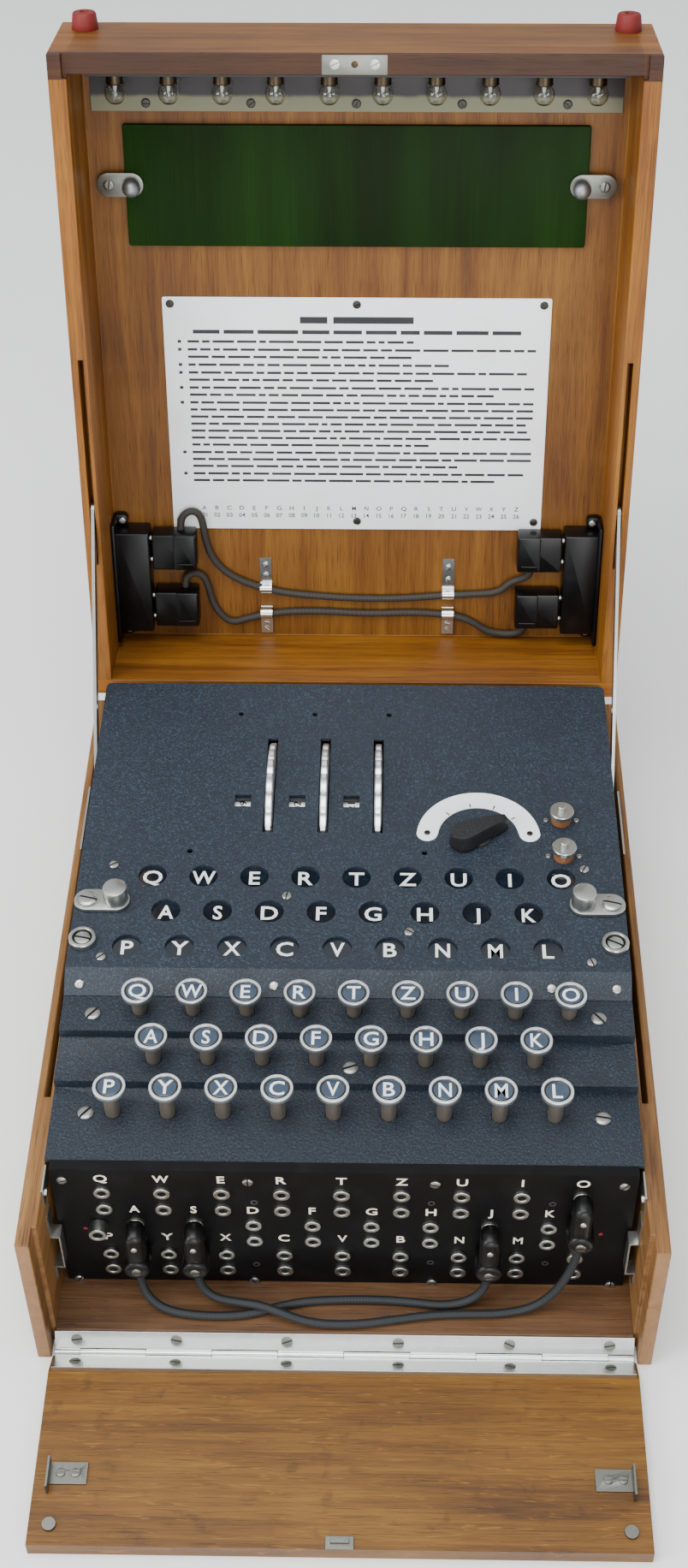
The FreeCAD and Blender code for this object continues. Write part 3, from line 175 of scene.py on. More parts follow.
class Finish:
    def __init__(self, name, **constants):
        self.material = bpy.data.materials.new(name)
        self.material.use_nodes = True
        self.tree = self.material.node_tree
        self.shader = self.tree.nodes["Principled BSDF"]
        self.surface({word.replace("_", " "): value for word, value in constants.items()})
        self.here = self.node("TexCoord", output="Object")

    def node(self, kind, settings=None, inputs=None, output=0):
        node = self.tree.nodes.new("ShaderNode" + kind)
        for word, value in (settings or {}).items():
            if word == "stops":
                stops = node.color_ramp.elements
                stops[0].position, stops[0].color = value[0]
                stops[1].position, stops[1].color = value[-1]
                for at, colour in value[1:-1]:
                    stops.new(at).color = colour
            else:
                setattr(node, word, value)
        for word, value in (inputs or {}).items():
            self.join(value, node.inputs[word])
        return Value(self, node.outputs[output])

    def join(self, value, socket):
        if isinstance(value, Value):
            self.tree.links.new(value.socket, socket)
        else:
            socket.default_value = value

    def surface(self, inputs):
        for word, value in inputs.items():
            self.join(value, self.shader.inputs[word])

    def dress(self, colour, rough, height, depth, strength):
        self.surface({"Base Color": colour, "Roughness": rough, "Normal": self.node(
            "Bump", {}, {"Height": height, "Distance": depth / 1000, "Strength": strength})})
        return self.material

    def shades(self, mask, first, second):
        return self.blend(mask, tint(*first), tint(*second))

    def place(self, size, turned=(0, 0, 0), at=(0, 0, 0), start=None):
        # coordinates in units of a feature's size, in millimetres each way
        return self.node("Mapping", {"vector_type": "TEXTURE"}, {
            "Vector": start or self.here, "Location": tuple(v / 1000 for v in at),
            "Rotation": tuple(math.radians(v) for v in turned),
            "Scale": tuple(v / 1000 for v in size)})

    def onLid(self):
        # x, up the lid and out of its panel, in metres
        return self.place((1000, 1000, 1000), (lidLean, 0, 0), lidFoot)

    def noise(self, size, detail=3, rough=0.5, bent=0, turned=(0, 0, 0), start=None):
        size = size if isinstance(size, tuple) else (size, size, size)
        return self.node("TexNoise", {}, {
            "Vector": self.place(size, turned, start=start), "Scale": 1, "Detail": detail,
            "Roughness": rough, "Distortion": bent})

    def cells(self, size, feature):
        return self.node("TexVoronoi", {"feature": feature}, {
            "Vector": self.place((size, size, size)), "Scale": 1})

    def ramp(self, value, *stops):
        stops = [(at, tint(*colour)) for at, colour in stops]
        return self.node("ValToRGB", {"stops": stops}, {"Fac": value})

    def blend(self, mask, first, second, how="MIX"):
        return self.node("Mix", {"data_type": "RGBA", "blend_type": how},
                         {0: mask, 6: first, 7: second}, 2)

    def pick(self, mask, first, second):
        return self.node("Mix", {"data_type": "VECTOR"}, {0: mask, 4: first, 5: second}, 1)

    def axes(self, vector=None):
        split = self.node("SeparateXYZ", {}, {"Vector": vector or self.here})
        return [Value(self, output) for output in split.socket.node.outputs]


def tint(red, green, blue):
    # a screen colour, 0 to 255, as the shader's
    return tuple(v / 255 / 12.92 if v < 10 else ((v / 255 + 0.055) / 1.055) ** 2.4
                 for v in (red, green, blue)) + (1,)


# wood

oakTones = {  # dark, middle and light
    "walls": ((76, 47, 22), (119, 82, 43), (146, 106, 62)),
    "floor": ((60, 38, 22), (90, 61, 36), (108, 79, 50)),
    "lid": ((73, 38, 8), (104, 63, 15), (127, 84, 27)),
    "flap": ((68, 39, 7), (101, 65, 14), (123, 84, 24)),
}


def oakColour(wood, tones, grain, fine):
    dark, middle, light = tones
    rings = wood.noise((1, 1, 1), 4, 0.55, 0.7, start=grain)
    fibres = wood.noise((1, 1, 1), 5, 0.6, 0.2, start=fine)
    patches = wood.noise(70, 2)
    tone = rings * 0.55 + fibres * 0.3 + patches * 0.25
    colour = wood.ramp(tone, (0.38, dark), (0.53, middle), (0.7, light))
    pore = wood.noise((0.4, 0.4, 0.4), 2, 0.5, 0.1, start=fine)
    pits = pore.between(0.56, 0.7) * 0.55
    return wood.blend(pits, colour, tint(*(v * 0.5 for v in dark))), fibres, pits


def oakSurface(wood, colour, fibres, pits, rough):
    return wood.dress(colour, fibres * 0.28 + rough, fibres * 0.5 - pits, 0.12, 0.6)


def oak(name, tones, flecks, rough):
    # a board with its grain from side to side, pale flecks and stains across it
    wood = Finish(name, Coat_Weight=0.05, Coat_Roughness=0.3, IOR=1.4)
    colour, fibres, pits = oakColour(wood, tones, wood.place((150e3, 7e3, 7e3)),
                                     wood.place((40e3, 900, 900)))
    fleck = wood.noise((16, 1.6, 3), 2, 0.5, 1.4).between(0.6, 0.72) * flecks
    colour = wood.blend(fleck, colour, tint(*(min(255, v * 1.12) for v in tones[2])))
    stain = wood.noise(11, 3).between(0.6, 0.76) * flecks * 0.7
    colour = wood.blend(stain, colour, tint(*(v * 0.62 for v in tones[0])))
    return oakSurface(wood, colour, fibres, pits, rough)


def oakWalls():
    # the side walls' grain runs front to back, the rear wall's from side to side
    wood = Finish("oakWalls", Coat_Weight=0.05, Coat_Roughness=0.3, IOR=1.4)
    x, y, z = wood.axes()
    side = x.size() > 0.1313
    wide = wood.pick(side, wood.place((150e3, 7e3, 7e3)), wood.place((7e3, 150e3, 7e3)))
    thin = wood.pick(side, wood.place((40e3, 900, 900)), wood.place((900, 40e3, 900)))
    colour, fibres, pits = oakColour(wood, oakTones["walls"], wide, thin)
    grime = wood.noise(26, 4).between(0.5, 0.85) * (1 - z.between(0.0, 0.05)) * 0.6
    colour = wood.blend(grime, colour, tint(70, 44, 24))
    endGrain = (y * -1).between(0.1698, 0.17)
    colour = wood.blend(endGrain * 0.45, colour, tint(150, 108, 66))
    return oakSurface(wood, colour, fibres, pits, 0.32)


def oakLid():
    # upright grain on the panel and the sides, cross grain on the rails at top and foot
    wood = Finish("oakLid", Coat_Weight=0.04, Coat_Roughness=0.3, IOR=1.38)
    flat = wood.onLid()
    x, u, out = wood.axes(flat)
    rail = (u - 0.16865).size() > 0.15985
    wide = wood.pick(rail, wood.place((8e3, 150e3, 8e3), start=flat),
                     wood.place((150e3, 6e3, 6e3), start=flat))
    thin = wood.pick(rail, wood.place((800, 42e3, 800), start=flat),
                     wood.place((42e3, 900, 900), start=flat))
    colour, fibres, pits = oakColour(wood, oakTones["lid"], wide, thin)
    sides = x.size() > 0.1312
    colour = wood.blend(sides, colour, (1.4, 1.35, 1.1, 1), "MULTIPLY")
    topRail = (u > 0.3285) * (out > 0.0465)
    colour = wood.blend(topRail, colour, (0.24, 0.19, 0.24, 1), "MULTIPLY")
    footRail = u < 0.0088
    colour = wood.blend(footRail, colour, (1.2, 1.15, 1.05, 1), "MULTIPLY")
    return oakSurface(wood, colour, fibres, pits, 0.36)


# metal, paint, rubber and the rest

metals = {  # colour, roughness, how far that varies, and stain
    "nickel": ((214, 217, 214), 0.24, 0.07, 0.05),
    "nickelWorn": ((184, 186, 180), 0.32, 0.1, 0.12),
    "keyRing": ((250, 252, 252), 0.36, 0.06, 0.04),
    # the brass on the next line is darkened as painted shade for the bulb caps in shadow under
    # the top rail
    "brassPaintedShade": ((74, 64, 50), 0.34, 0.2, 0.3),
    "darkSteel": ((82, 82, 82), 0.34, 0.2, 0.3),
    "plateSteel": ((120, 121, 114), 0.36, 0.12, 0.2),
    "keySide": ((150, 154, 156), 0.5, 0.1, 0.2),
    "stemSteel": ((156, 146, 134), 0.52, 0.1, 0.25),
    "screwGrey": ((160, 161, 158), 0.34, 0.14, 0.2),
    "screwDark": ((70, 68, 64), 0.4, 0.2, 0.3),
}


def metal(name):
    colour, rough, spread, stained = metals[name]
    plate = Finish(name, Metallic=1.0)
    wear = plate.noise(3.2, 4, 0.6)
    marks = plate.noise(0.25, 3, 0.7)
    stain = plate.noise(8, 3, 0.6, 0.6).between(0.52, 0.8) * stained
    return plate.dress(plate.shades(stain, colour, (v * 0.62 for v in colour)),
                       wear * spread + marks * 0.12 + (rough - 0.1), marks, 0.02, 0.35)


def lampStripMetal():
    # bare metal by the screws, painted shade from the top rail under the bulbs and on the shelf
    plate = Finish("stripAluminium", Metallic=1.0)
    x, u, out = plate.axes(plate.onLid())
    marks = plate.noise((4, 0.2, 0.2), 3, 0.7)
    ragged = plate.noise(9, 3) * 0.002
    # painted shade: the strip goes dark above the screws, where the top rail shades it
    paintedRailShade = (u + ragged).between(0.3072, 0.3096)
    colour = plate.shades(paintedRailShade * 0.85, (106, 105, 88), (50, 48, 55))
    return plate.dress(colour, marks * 0.12 + 0.42, marks, 0.02, 0.35)


def crackle(name, base, light):
    # stoved wrinkle paint: fine ridges, lighter where hands have rubbed them
    paint = Finish(name, IOR=1.5)
    ridges = paint.cells(1.1, "SMOOTH_F1")
    fine = paint.noise(0.55, 4, 0.65)
    patches = paint.noise(45, 3)
    rub = paint.noise(0.9, 3, 0.7).between(0.48, 0.75)
    colour = paint.shades(rub * (patches * 0.5 + 0.3), base, light)
    return paint.dress(colour, fine * 0.3 + 0.4, ridges * 0.7 + fine * 0.6, 0.32, 0.85)


def gloss(name, colour, dusty, rough, coat=0.4, index=1.52):
    # moulded or lacquered: nearly smooth, with faint scratches and dust
    shell = Finish(name, Coat_Weight=coat, Coat_Roughness=0.06, IOR=index)
    dust = shell.noise(9, 4, 0.6).between(0.45, 0.9)
    scratch = shell.noise((0.3, 5, 0.3), 3, 0.7, turned=(0, 0, 35)).between(0.6, 0.75)
    ripple = shell.noise(14, 2)
    return shell.dress(shell.shades(dust * 0.5, colour, dusty),
                       dust * 0.12 + scratch * 0.06 + rough, ripple + scratch * 0.02, 0.03, 0.2)


def matt(name, colour, worn, rough=0.62, size=1.4, depth=0.08, index=1.45):
    skin = Finish(name, IOR=index)
    speck = skin.noise(size, 4, 0.6)
    smudge = skin.noise(12, 3).between(0.45, 0.85)
    return skin.dress(skin.shades(smudge * 0.6, colour, worn), speck * 0.2 + (rough - 0.1),
                      speck, depth, 0.5)


def greenFilter():
    # dark green moulded sheet with a fine upright grain
    sheet = Finish("greenFilter", IOR=1.45, Specular_IOR_Level=0.1)
    lines = sheet.noise((0.7, 60, 60), 4, 0.65, 0.1, turned=(lidLean, 0, 0))
    bands = sheet.noise((40, 300, 300), 2, turned=(lidLean, 0, 0))
    colour = sheet.ramp(lines * 0.28 + bands * 0.72, (0.36, (11, 28, 3)), (0.52, (17, 42, 5)),
                        (0.7, (29, 60, 9)))
    return sheet.dress(colour, lines * 0.2 + 0.38, lines, 0.04, 0.4)


def clearGlass():
    glass = Finish("clearGlass", IOR=1.45, Transmission_Weight=1.0)
    haze = glass.noise(4, 2)
    return glass.dress(glass.shades(haze, (250, 250, 246), (236, 238, 232)), 0.02, haze, 0.02,
                       0.15)


def braid(name, dark, light):
    # the woven sheath follows the cord: u along it, v round it
    sheath = Finish(name, IOR=1.45)
    u, v, rest = sheath.axes(sheath.node("TexCoord", output="UV"))
    one = (u * 620 + v * 25.133).math("SINE", u * 620 + v * 25.133)
    two = (u * 620 - v * 25.133).math("SINE", u * 620 - v * 25.133)
    weave = one * two * 0.5 + 0.5
    lint = sheath.noise(0.7, 4, 0.7)
    colour = sheath.shades(weave * 0.5 + lint * 0.4, dark, light)
    return sheath.dress(colour, lint * 0.2 + 0.55, weave + lint * 0.5, 0.15, 0.6)


def cardPaper():
    paper = Finish("cardPaper", Coat_Weight=0.1, Coat_Roughness=0.4)
    age = paper.noise(30, 4).between(0.4, 0.9)
    fibre = paper.noise(0.6, 3)
    return paper.dress(paper.shades(age * 0.7, (246, 249, 252), (232, 231, 224)),
                       fibre * 0.15 + 0.42, fibre, 0.02, 0.4)


(nickel, nickelWorn, keyRing, brassPaintedShade, darkSteel, plateSteel, keySide, stemSteel, screwGrey,
 screwDark) = map(metal, metals)
stripAluminium = lampStripMetal()
crackleBlack = crackle("crackleBlack", (12, 24, 36), (69, 94, 114))
deckCrackle = crackle("deckCrackle", (8, 19, 30), (56, 84, 106))
knobCrackle = crackle("knobCrackle", (8, 9, 11), (40, 43, 47))
plugBlack = matt("plugBlack", (5, 5, 6), (11, 12, 13), 0.36, 1.2, 0.0, 1.42)
bakelite = gloss("bakelite", (5, 5, 6), (15, 16, 18), 0.3, 0.0, 1.38)
boardBlack = matt("boardBlack", (4, 4, 5), (17, 18, 20), 0.52, 1.4, 0.03, 1.26)
lampFilm = gloss("lampFilm", (16, 24, 32), (40, 56, 68), 0.08, 0.6)
keyDisc = gloss("keyDisc", (52, 66, 82), (80, 94, 110), 0.16, 0.3)
letterWhite = matt("letterWhite", (232, 234, 232), (210, 212, 206), 0.4, 0.8, 0.01)
letterCream = matt("letterCream", (232, 226, 204), (206, 200, 176), 0.45, 0.8, 0.01)
enamel = gloss("enamel", (246, 251, 252), (226, 232, 232), 0.14, 0.4)
ink = matt("ink", (34, 34, 38), (60, 60, 64), 0.5, 0.8, 0.01)
redMark = matt("redMark", (150, 18, 30), (110, 14, 24), 0.4)
amber = gloss("amber", (128, 84, 50), (104, 70, 44), 0.24, 0.3)
rubberRed = matt("rubberRed", (112, 24, 20), (82, 20, 18), 0.6, 2.2, 0.12)
framePaint = matt("framePaint", (40, 41, 44), (70, 71, 74), 0.5)
cardWhite = cardPaper()
cordSheath = braid("braidedCord", (11, 12, 13), (42, 46, 49))
spareSheath = braid("spareCord", (24, 21, 18), (62, 55, 48))
bulbGlass = clearGlass()
filterGreen = greenFilter()
wallOak, lidOak = oakWalls(), oakLid()
floorOak = oak("oakFloor", oakTones["floor"], 0.25, 0.3)
flapOak = oak("oakFlap", oakTones["flap"], 0.6, 0.26)
print("finishes made")


# mesh building

def bevel(part, edges, width, steps=2):
    bmesh.ops.bevel(part, geom=edges, offset=width, offset_type="OFFSET", affect="EDGES",
                    segments=steps, profile=0.5, material=-1, clamp_overlap=True)


def put(whole, part, place=None, finish=None):
    # adds a small shape to a bigger one
    if place is not None:
        bmesh.ops.transform(part, matrix=place, verts=part.verts)
        if place.determinant() < 0:
            bmesh.ops.reverse_faces(part, faces=part.faces)
    if finish is not None:
        for face in part.faces:
            face.material_index = finish
    holder = bpy.data.meshes.new("holder")
    part.to_mesh(holder)
    part.free()
    whole.from_mesh(holder)
    bpy.data.meshes.remove(holder)


def spun(profile, steps=28):
    # a shape turned about z from radius and height
    part = bmesh.new()
    points = [part.verts.new((radius, 0, height)) for radius, height in profile]
    edges = [part.edges.new(pair) for pair in zip(points, points[1:])]
    bmesh.ops.spin(part, geom=points + edges, cent=(0, 0, 0), axis=(0, 0, 1),
                   angle=2 * math.pi, steps=steps, use_merge=True)
    bmesh.ops.remove_doubles(part, verts=part.verts, dist=1e-4)
    bmesh.ops.recalc_face_normals(part, faces=part.faces)
    return part


def rod(radius, low, high, steps):
    return spun([(0, low), (radius, low), (radius, high), (0, high)], steps)


def pad(size, corner=0.0, steps=6, edge=0.3):
    # a block standing on z = 0, its upright corners rounded, then its rims
    part = bmesh.new()
    bmesh.ops.create_cube(part, size=1, matrix=move(0, 0, size[2] / 2) @ stretch(*size))
    if corner:
        upright = [e for e in part.edges if abs(e.verts[0].co.z - e.verts[1].co.z) > 1e-4]
        bevel(part, upright, corner * 0.999, steps)
    if edge:
        bevel(part, [e for e in part.edges if e.calc_face_angle(0) > 0.9], edge)
    return part


def shift(part, raised, vec):
    bmesh.ops.translate(part, vec=vec, verts=[g for g in raised["geom"]
                                              if isinstance(g, bmesh.types.BMVert)])


def strap(line, wide, thick):
    # a bent metal strip: a line of (along, height) points, widened across x and thickened
    part = bmesh.new()
    points = [part.verts.new((-wide / 2, along, height)) for along, height in line]
    edges = [part.edges.new(pair) for pair in zip(points, points[1:])]
    shift(part, bmesh.ops.extrude_edge_only(part, edges=edges), (wide, 0, 0))
    bmesh.ops.solidify(part, geom=part.faces[:], thickness=thick)
    bmesh.ops.recalc_face_normals(part, faces=part.faces)
    return part


def cutOff(part, point, normal, filled=True):
    # keeps the side that the normal points to
    bmesh.ops.bisect_plane(part, geom=part.verts[:] + part.edges[:] + part.faces[:],
                           dist=1e-5, plane_co=point, plane_no=normal, clear_inner=True)
    if filled:
        bmesh.ops.holes_fill(part, edges=[e for e in part.edges if e.is_boundary], sides=0)


def mill(part, beyond, share):
    # every other step of a rim drawn in, as on a milled edge
    for vertex in part.verts:
        x, y, z = vertex.co
        if vertex.co.xy.length > beyond and round(math.atan2(y, x) * 36 / math.pi) % 2:
            vertex.co.xy = x * share, y * share


def screwHead(radius, high, slot=0.7, steps=20, dark=0):
    # two halves of a turned head either side of the slot, on a thin foot of its own finish
    part = bmesh.new()
    for side in (1, -1):
        half = spun([(0, 0.05), (radius, 0.05), (radius, high * 0.55),
                     (radius * 0.86, high * 0.9), (radius * 0.6, high), (0, high)], steps)
        cutOff(half, (0, side * slot / 2, 0), (0, side, 0))
        put(part, half)
    # the foot shows at the bottom of the slot; a dark finish there is painted shade
    put(part, rod(radius * 0.97, 0, high * 0.15, steps), None, dark)
    return part


def screws(places, radius, high, seat=onTop, slot=0.7):
    whole = bmesh.new()
    for x, y, z, turned in places:
        put(whole, screwHead(radius, high, slot, 20, 1),
            seat @ move(x, y, z) @ turn(turned, "Z"))
    return whole


def piece(name, whole, finishes, body, replaces=None, sharp=38, soften=0.0):
    bmesh.ops.scale(whole, vec=(0.001, 0.001, 0.001), verts=whole.verts)
    mesh = bpy.data.meshes.new(name)
    whole.to_mesh(mesh)
    whole.free()
    mesh.polygons.foreach_set("use_smooth", [True] * len(mesh.polygons))
    mesh.set_sharp_from_angle(angle=math.radians(sharp))
    thing = add(name, mesh)
    for finish in finishes if isinstance(finishes, list) else [finishes]:
        mesh.materials.append(finish)
    if soften:
        edge = thing.modifiers.new("soften", "BEVEL")
        edge.width, edge.segments, edge.limit_method = soften / 1000, 2, "ANGLE"
        edge.angle_limit, edge.harden_normals = math.radians(38), True
    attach(thing, body)
    if replaces:
        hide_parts(replaces)
    return thing


def cadShape(node, wanted=None):
    # a merged copy of a CAD node, or of those of its solids that are wanted by place and size
    part = bmesh.new()
    part.from_mesh(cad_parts[node].data)
    bmesh.ops.scale(part, vec=(1000, 1000, 1000), verts=part.verts)
    bmesh.ops.remove_doubles(part, verts=part.verts, dist=1e-3)
    if wanted:
        left, dropped = set(part.verts), []
        while left:
            group, queue = set(), [left.pop()]
            while queue:
                vertex = queue.pop()
                group.add(vertex)
                for edge in vertex.link_edges:
                    other = edge.other_vert(vertex)
                    if other in left:
                        left.discard(other)
                        queue.append(other)
            low = Vector(min(v.co[k] for v in group) for k in range(3))
            high = Vector(max(v.co[k] for v in group) for k in range(3))
            if not wanted((low + high) / 2, high - low):
                dropped += group
        bmesh.ops.delete(part, geom=dropped, context="VERTS")
    bmesh.ops.dissolve_limit(part, angle_limit=math.radians(0.4), verts=part.verts,
                             edges=part.edges)
    return part


def cadPiece(name, node, finishes, body, soften, wanted=None):
    return piece(name, cadShape(node, wanted), finishes, body, node, 30, soften)


glyphs = {}


def glyph(words, bold):
    # a word's flat mesh at size 1, standing on y = 0, kept for the next use
    if (words, bold) not in glyphs:
        curve = bpy.data.curves.new("words", "FONT")
        curve.body, curve.align_x, curve.offset = words, "CENTER", bold
        curve.resolution_u = 3
        holder = add("words", curve)
        bpy.context.view_layer.update()
        ready = holder.evaluated_get(bpy.context.evaluated_depsgraph_get())
        glyphs[words, bold] = bpy.data.meshes.new_from_object(ready)
        bpy.data.objects.remove(holder)
        bpy.data.curves.remove(curve)
    return glyphs[words, bold]


def lettering(whole, words, place, high, wide, bold, deep, finish=None):
    # capitals of one height and a relative width and weight, raised from the place's z = 0
    part = bmesh.new()
    part.from_mesh(glyph(words, bold))
    low, top = (pick(v.co.y for v in glyph("H", bold).vertices) for pick in (min, max))
    left, right = (pick(v.co.x for v in part.verts) for pick in (min, max))
    bmesh.ops.translate(part, vec=(-(left + right) / 2, -(low + top) / 2, 0), verts=part.verts)
    size = high / (top - low)
    narrowed = 0.84 if words in tuple("AKMNSVWX") else 1
    bmesh.ops.scale(part, vec=(size * wide * narrowed, size, 1), verts=part.verts)
    for face in part.faces:
        if face.normal.z < 0:
            face.normal_flip()
    shift(part, bmesh.ops.extrude_face_region(part, geom=part.faces[:]), (0, 0, deep))
    bmesh.ops.recalc_face_normals(part, faces=part.faces)
    put(whole, part, place, finish)


# cords

cords = {
    "radius": 2.0,
    "patchA": {"length": 0.191, "points": (
        (-93.4, -143.5, 34.6), (-93.4, -143.5, 27.2), (-91.6, -147, 19.5), (-86, -151, 14.8),
        (-77, -154, 13.2), (-62, -155.6, 13.2), (-46, -155, 13.2), (-33, -151, 13.2),
        (-20, -147.5, 13.2), (-2, -146.2, 13.2), (16, -146, 13.2), (31, -147, 13.2),
        (42, -148.5, 13.2), (51, -148.3, 14), (58.6, -147, 16.6), (63.4, -145.2, 21.4),
        (65, -143.5, 27.8), (65, -143.5, 34.6))},
    "patchB": {"length": 0.218, "points": (
        (-67, -143.5, 34.6), (-67, -143.5, 28), (-65, -145.8, 20.6), (-58.5, -148.4, 16.4),
        (-48, -150, 16.2), (-39, -152, 17.6), (-30, -155, 17), (-20, -157.6, 14.2),
        (-8, -159.1, 13.2), (8, -158.6, 13.2), (24, -156, 13.2), (40, -153.5, 13.2),
        (56, -152.8, 13.2), (72, -152.5, 13.2), (86, -150.5, 15.4), (95, -148.5, 24),
        (101, -146, 36), (104.6, -143.5, 48.4), (104.6, -143.5, 59))},
    "spareUpper": {"length": 0.235, "points": (
        (-95, 76.5, 4.6), (-95, 81, 4.6), (-93, 85, 4), (-89, 87, 3.6), (-85.2, 85.4, 3.4),
        (-83.2, 81, 3.3), (-82.4, 71, 3), (-79.4, 59, 2.7), (-72, 49, 2.5), (-60, 42, 2.4),
        (-42, 36.6, 2.3), (-20, 34.4, 2.3), (2, 33.2, 2.3), (24, 33.4, 2.3), (44, 35.2, 2.3),
        (62, 36.4, 2.3), (77.6, 37.4, 2.4), (84, 44.4, 2.6), (91.2, 47.4, 3.8),
        (94.7, 51, 4.6), (94.7, 55.5, 4.6))},
    "spareLower": {"length": 0.22, "points": (
        (-94, 41.5, 4.6), (-94, 45.6, 4.6), (-91.6, 48.6, 4), (-87.6, 49.2, 3.4),
        (-83.6, 46.6, 2.9), (-81.4, 40, 2.6), (-80, 32, 2.4), (-76.6, 24, 2.3),
        (-69.6, 17, 2.3), (-60, 20.6, 2.3), (-42, 24.6, 2.3), (-20, 25.2, 2.3), (6, 23.6, 2.3),
        (30, 24.8, 2.3), (50, 23.6, 2.3), (62.5, 20.2, 2.3), (71, 13.4, 2.3), (80, 11.4, 2.4),
        (88, 12.2, 3.4), (92.5, 15.8, 4.6), (92.5, 20.5, 4.6))},
}


def makeCord(name, seat, body, node, sheath):
    points = [seat @ Vector(point) / 1000 for point in cords[name]["points"]]
    curve = bpy.data.curves.new(name, "CURVE")
    curve.dimensions, curve.resolution_u, curve.use_fill_caps = "3D", 8, True
    curve.bevel_depth, curve.bevel_resolution = cords["radius"] / 1000, 4
    line = curve.splines.new("NURBS")
    line.points.add(len(points) - 1)
    for knot, point in zip(line.points, points):
        knot.co = (*point, 1)
    line.order_u, line.use_endpoint_u = 3, True
    curve.materials.append(sheath)
    thing = add(name, curve)
    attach(thing, body)
    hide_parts(node)


# patch plugs on the plugboard, and the spare ones in the lid

patchPlug = {"back": 1.8, "front": 14.1, "foot": 6.1, "neck": 8.6, "pins": 12.7}
plugPlaces = (("patchPlugA", -93.4, 59.5), ("patchPlugB", -67.0, 59.5),
              ("patchPlugC", 65.0, 59.5), ("patchPlugD", 104.6, 83.9))


def makePatchPlug(name, x, high):
    # a narrow grip over a round foot with its clamping screw, standing out from the board
    whole = bmesh.new()
    back, front, radius, neck, pins = patchPlug.values()
    low = high - pins - 12.2
    foot = low + radius
    tall = high + 6.2 - foot
    put(whole, spun([(0, back), (radius - 0.4, back), (radius, back + 0.6),
                     (radius, front - 1.6), (radius - 0.5, front - 0.6),
                     (radius - 1.3, front - 0.1), (3, front), (0, front)], 36),
        onBoard @ move(x, foot), 0)
    put(whole, pad((neck, tall, front - back - 1), 3.9, 8, 2.6),
        onBoard @ move(x, (high + 6.2 + foot) / 2, back), 0)
    put(whole, spun([(0, 0), (1.5, 0), (1.5, 0.6), (1.1, 0.9), (0, 1)], 18),
        onBoard @ move(x, high - 2, front - 1.1), 1)
    put(whole, screwHead(2.5, 0.9, 0.6, 24), onBoard @ move(x, foot, front - 0.2) @ turn(8, "Z"),
        2)
    for pin in (high, high - pins):
        put(whole, rod(1.6, -4.5, 2.2, 16), onBoard @ move(x, pin), 1)
    put(whole, spun([(2.1, 0), (3, 0), (2.6, 2.4), (2.1, 2.4)], 20),
        move(x, -143.5, low - 1.9), 0)
    return piece(name, whole, [plugBlack, nickelWorn, plateSteel], "case",
                 "patch_plugs", 60)


patchPlugs = {name[-1]: makePatchPlug(name, x, high) for name, x, high in plugPlaces}

spare = {"holder": (18.2, 72.0, 17.0), "holderX": 120.6, "flangeX": 130.2, "holderU": 48.0,
         "plugX": 98.4, "plug": (23.8, 21.0, 13.0), "plugU": (31.0, 66.0),
         "screwU": (14.4, 81.6)}


def makeSpares(side, name):
    # a holder block by the lid's side, and two plugs in it that point to the middle
    whole = bmesh.new()
    (wide, long, high), holderX, flangeX, middle, plugX, plug, plugU, screwU = spare.values()
    length, across, thick = plug
    put(whole, pad((wide, long - 12, high - 3), 1.2, 4, 0.7),
        onLid @ move(side * holderX, middle), 0)
    put(whole, pad((2.2, long, high), 1, 4, 0.6), onLid @ move(side * flangeX, middle), 0)
    for u in screwU:
        put(whole, pad((8, 6.4, 5), 2.6, 4, 0.6), onLid @ move(side * (flangeX - 3), u), 0)
        put(whole, screwHead(1.8, 0.8, 0.5), onLid @ move(side * (flangeX - 4), u, 5), 1)
    for u in plugU:
        at = onLid @ move(side * plugX, u)
        put(whole, pad((length, across, thick - 1.9), 1.2, 4, 0.8), at @ move(0, 0, 1.5), 0)
        put(whole, pad((length * 0.52, across - 0.2, thick - 1.5), 1.2, 4, 0.8),
            at @ move(-side * length * 0.235, 0, 1.5), 0)
        put(whole, pad((length * 0.4, 1.1, 0.9), 0.5, 3, 0.3),
            at @ move(-side * length * 0.22, -across * 0.33, thick - 0.3), 0)
        for pin in (-0.5, 0.5):
            put(whole, rod(1.6, -1.8, 2, 14),
                at @ move(side * length / 2, pin * patchPlug["pins"], 7.5) @ turn(90, "Y"), 1)
    return piece(name, whole, [bakelite, nickelWorn], "lid", "spare_plugs")


makeSpares(-1, "sparePlugsLeft")
spareRight = makeSpares(1, "sparePlugsRight")
makeCord("patchA", onTop, "case", "patch_cord_a", cordSheath)
makeCord("patchB", onTop, "case", "patch_cord_b", cordSheath)
makeCord("spareUpper", onLid, "lid", "spare_cords", spareSheath)
makeCord("spareLower", onLid, "lid", "spare_cords", spareSheath)
print("cords and plugs made")


# the case

cadPiece("caseWalls", "case_walls", wallOak, "case", 0.7)
cadPiece("caseFloor", "case_floor", floorOak, "case", 0.4)
cadPiece("caseMetalwork", "case_metalwork", nickelWorn, "case", 0.12)
cadPiece("hingeLeafCase", "flap_hinge_leaf", nickel, "case", 0.12)
cadPiece("flapBoard", "flap_board", flapOak, "flap", 0.5)
cadPiece("hingeLeafFlap", "flap_fittings", nickel, "flap", 0.12,
         lambda middle, size: size.x > 100)
cadPiece("flapPlates", "flap_fittings", plateSteel, "flap", 0.12,
         lambda middle, size: size.x < 100)

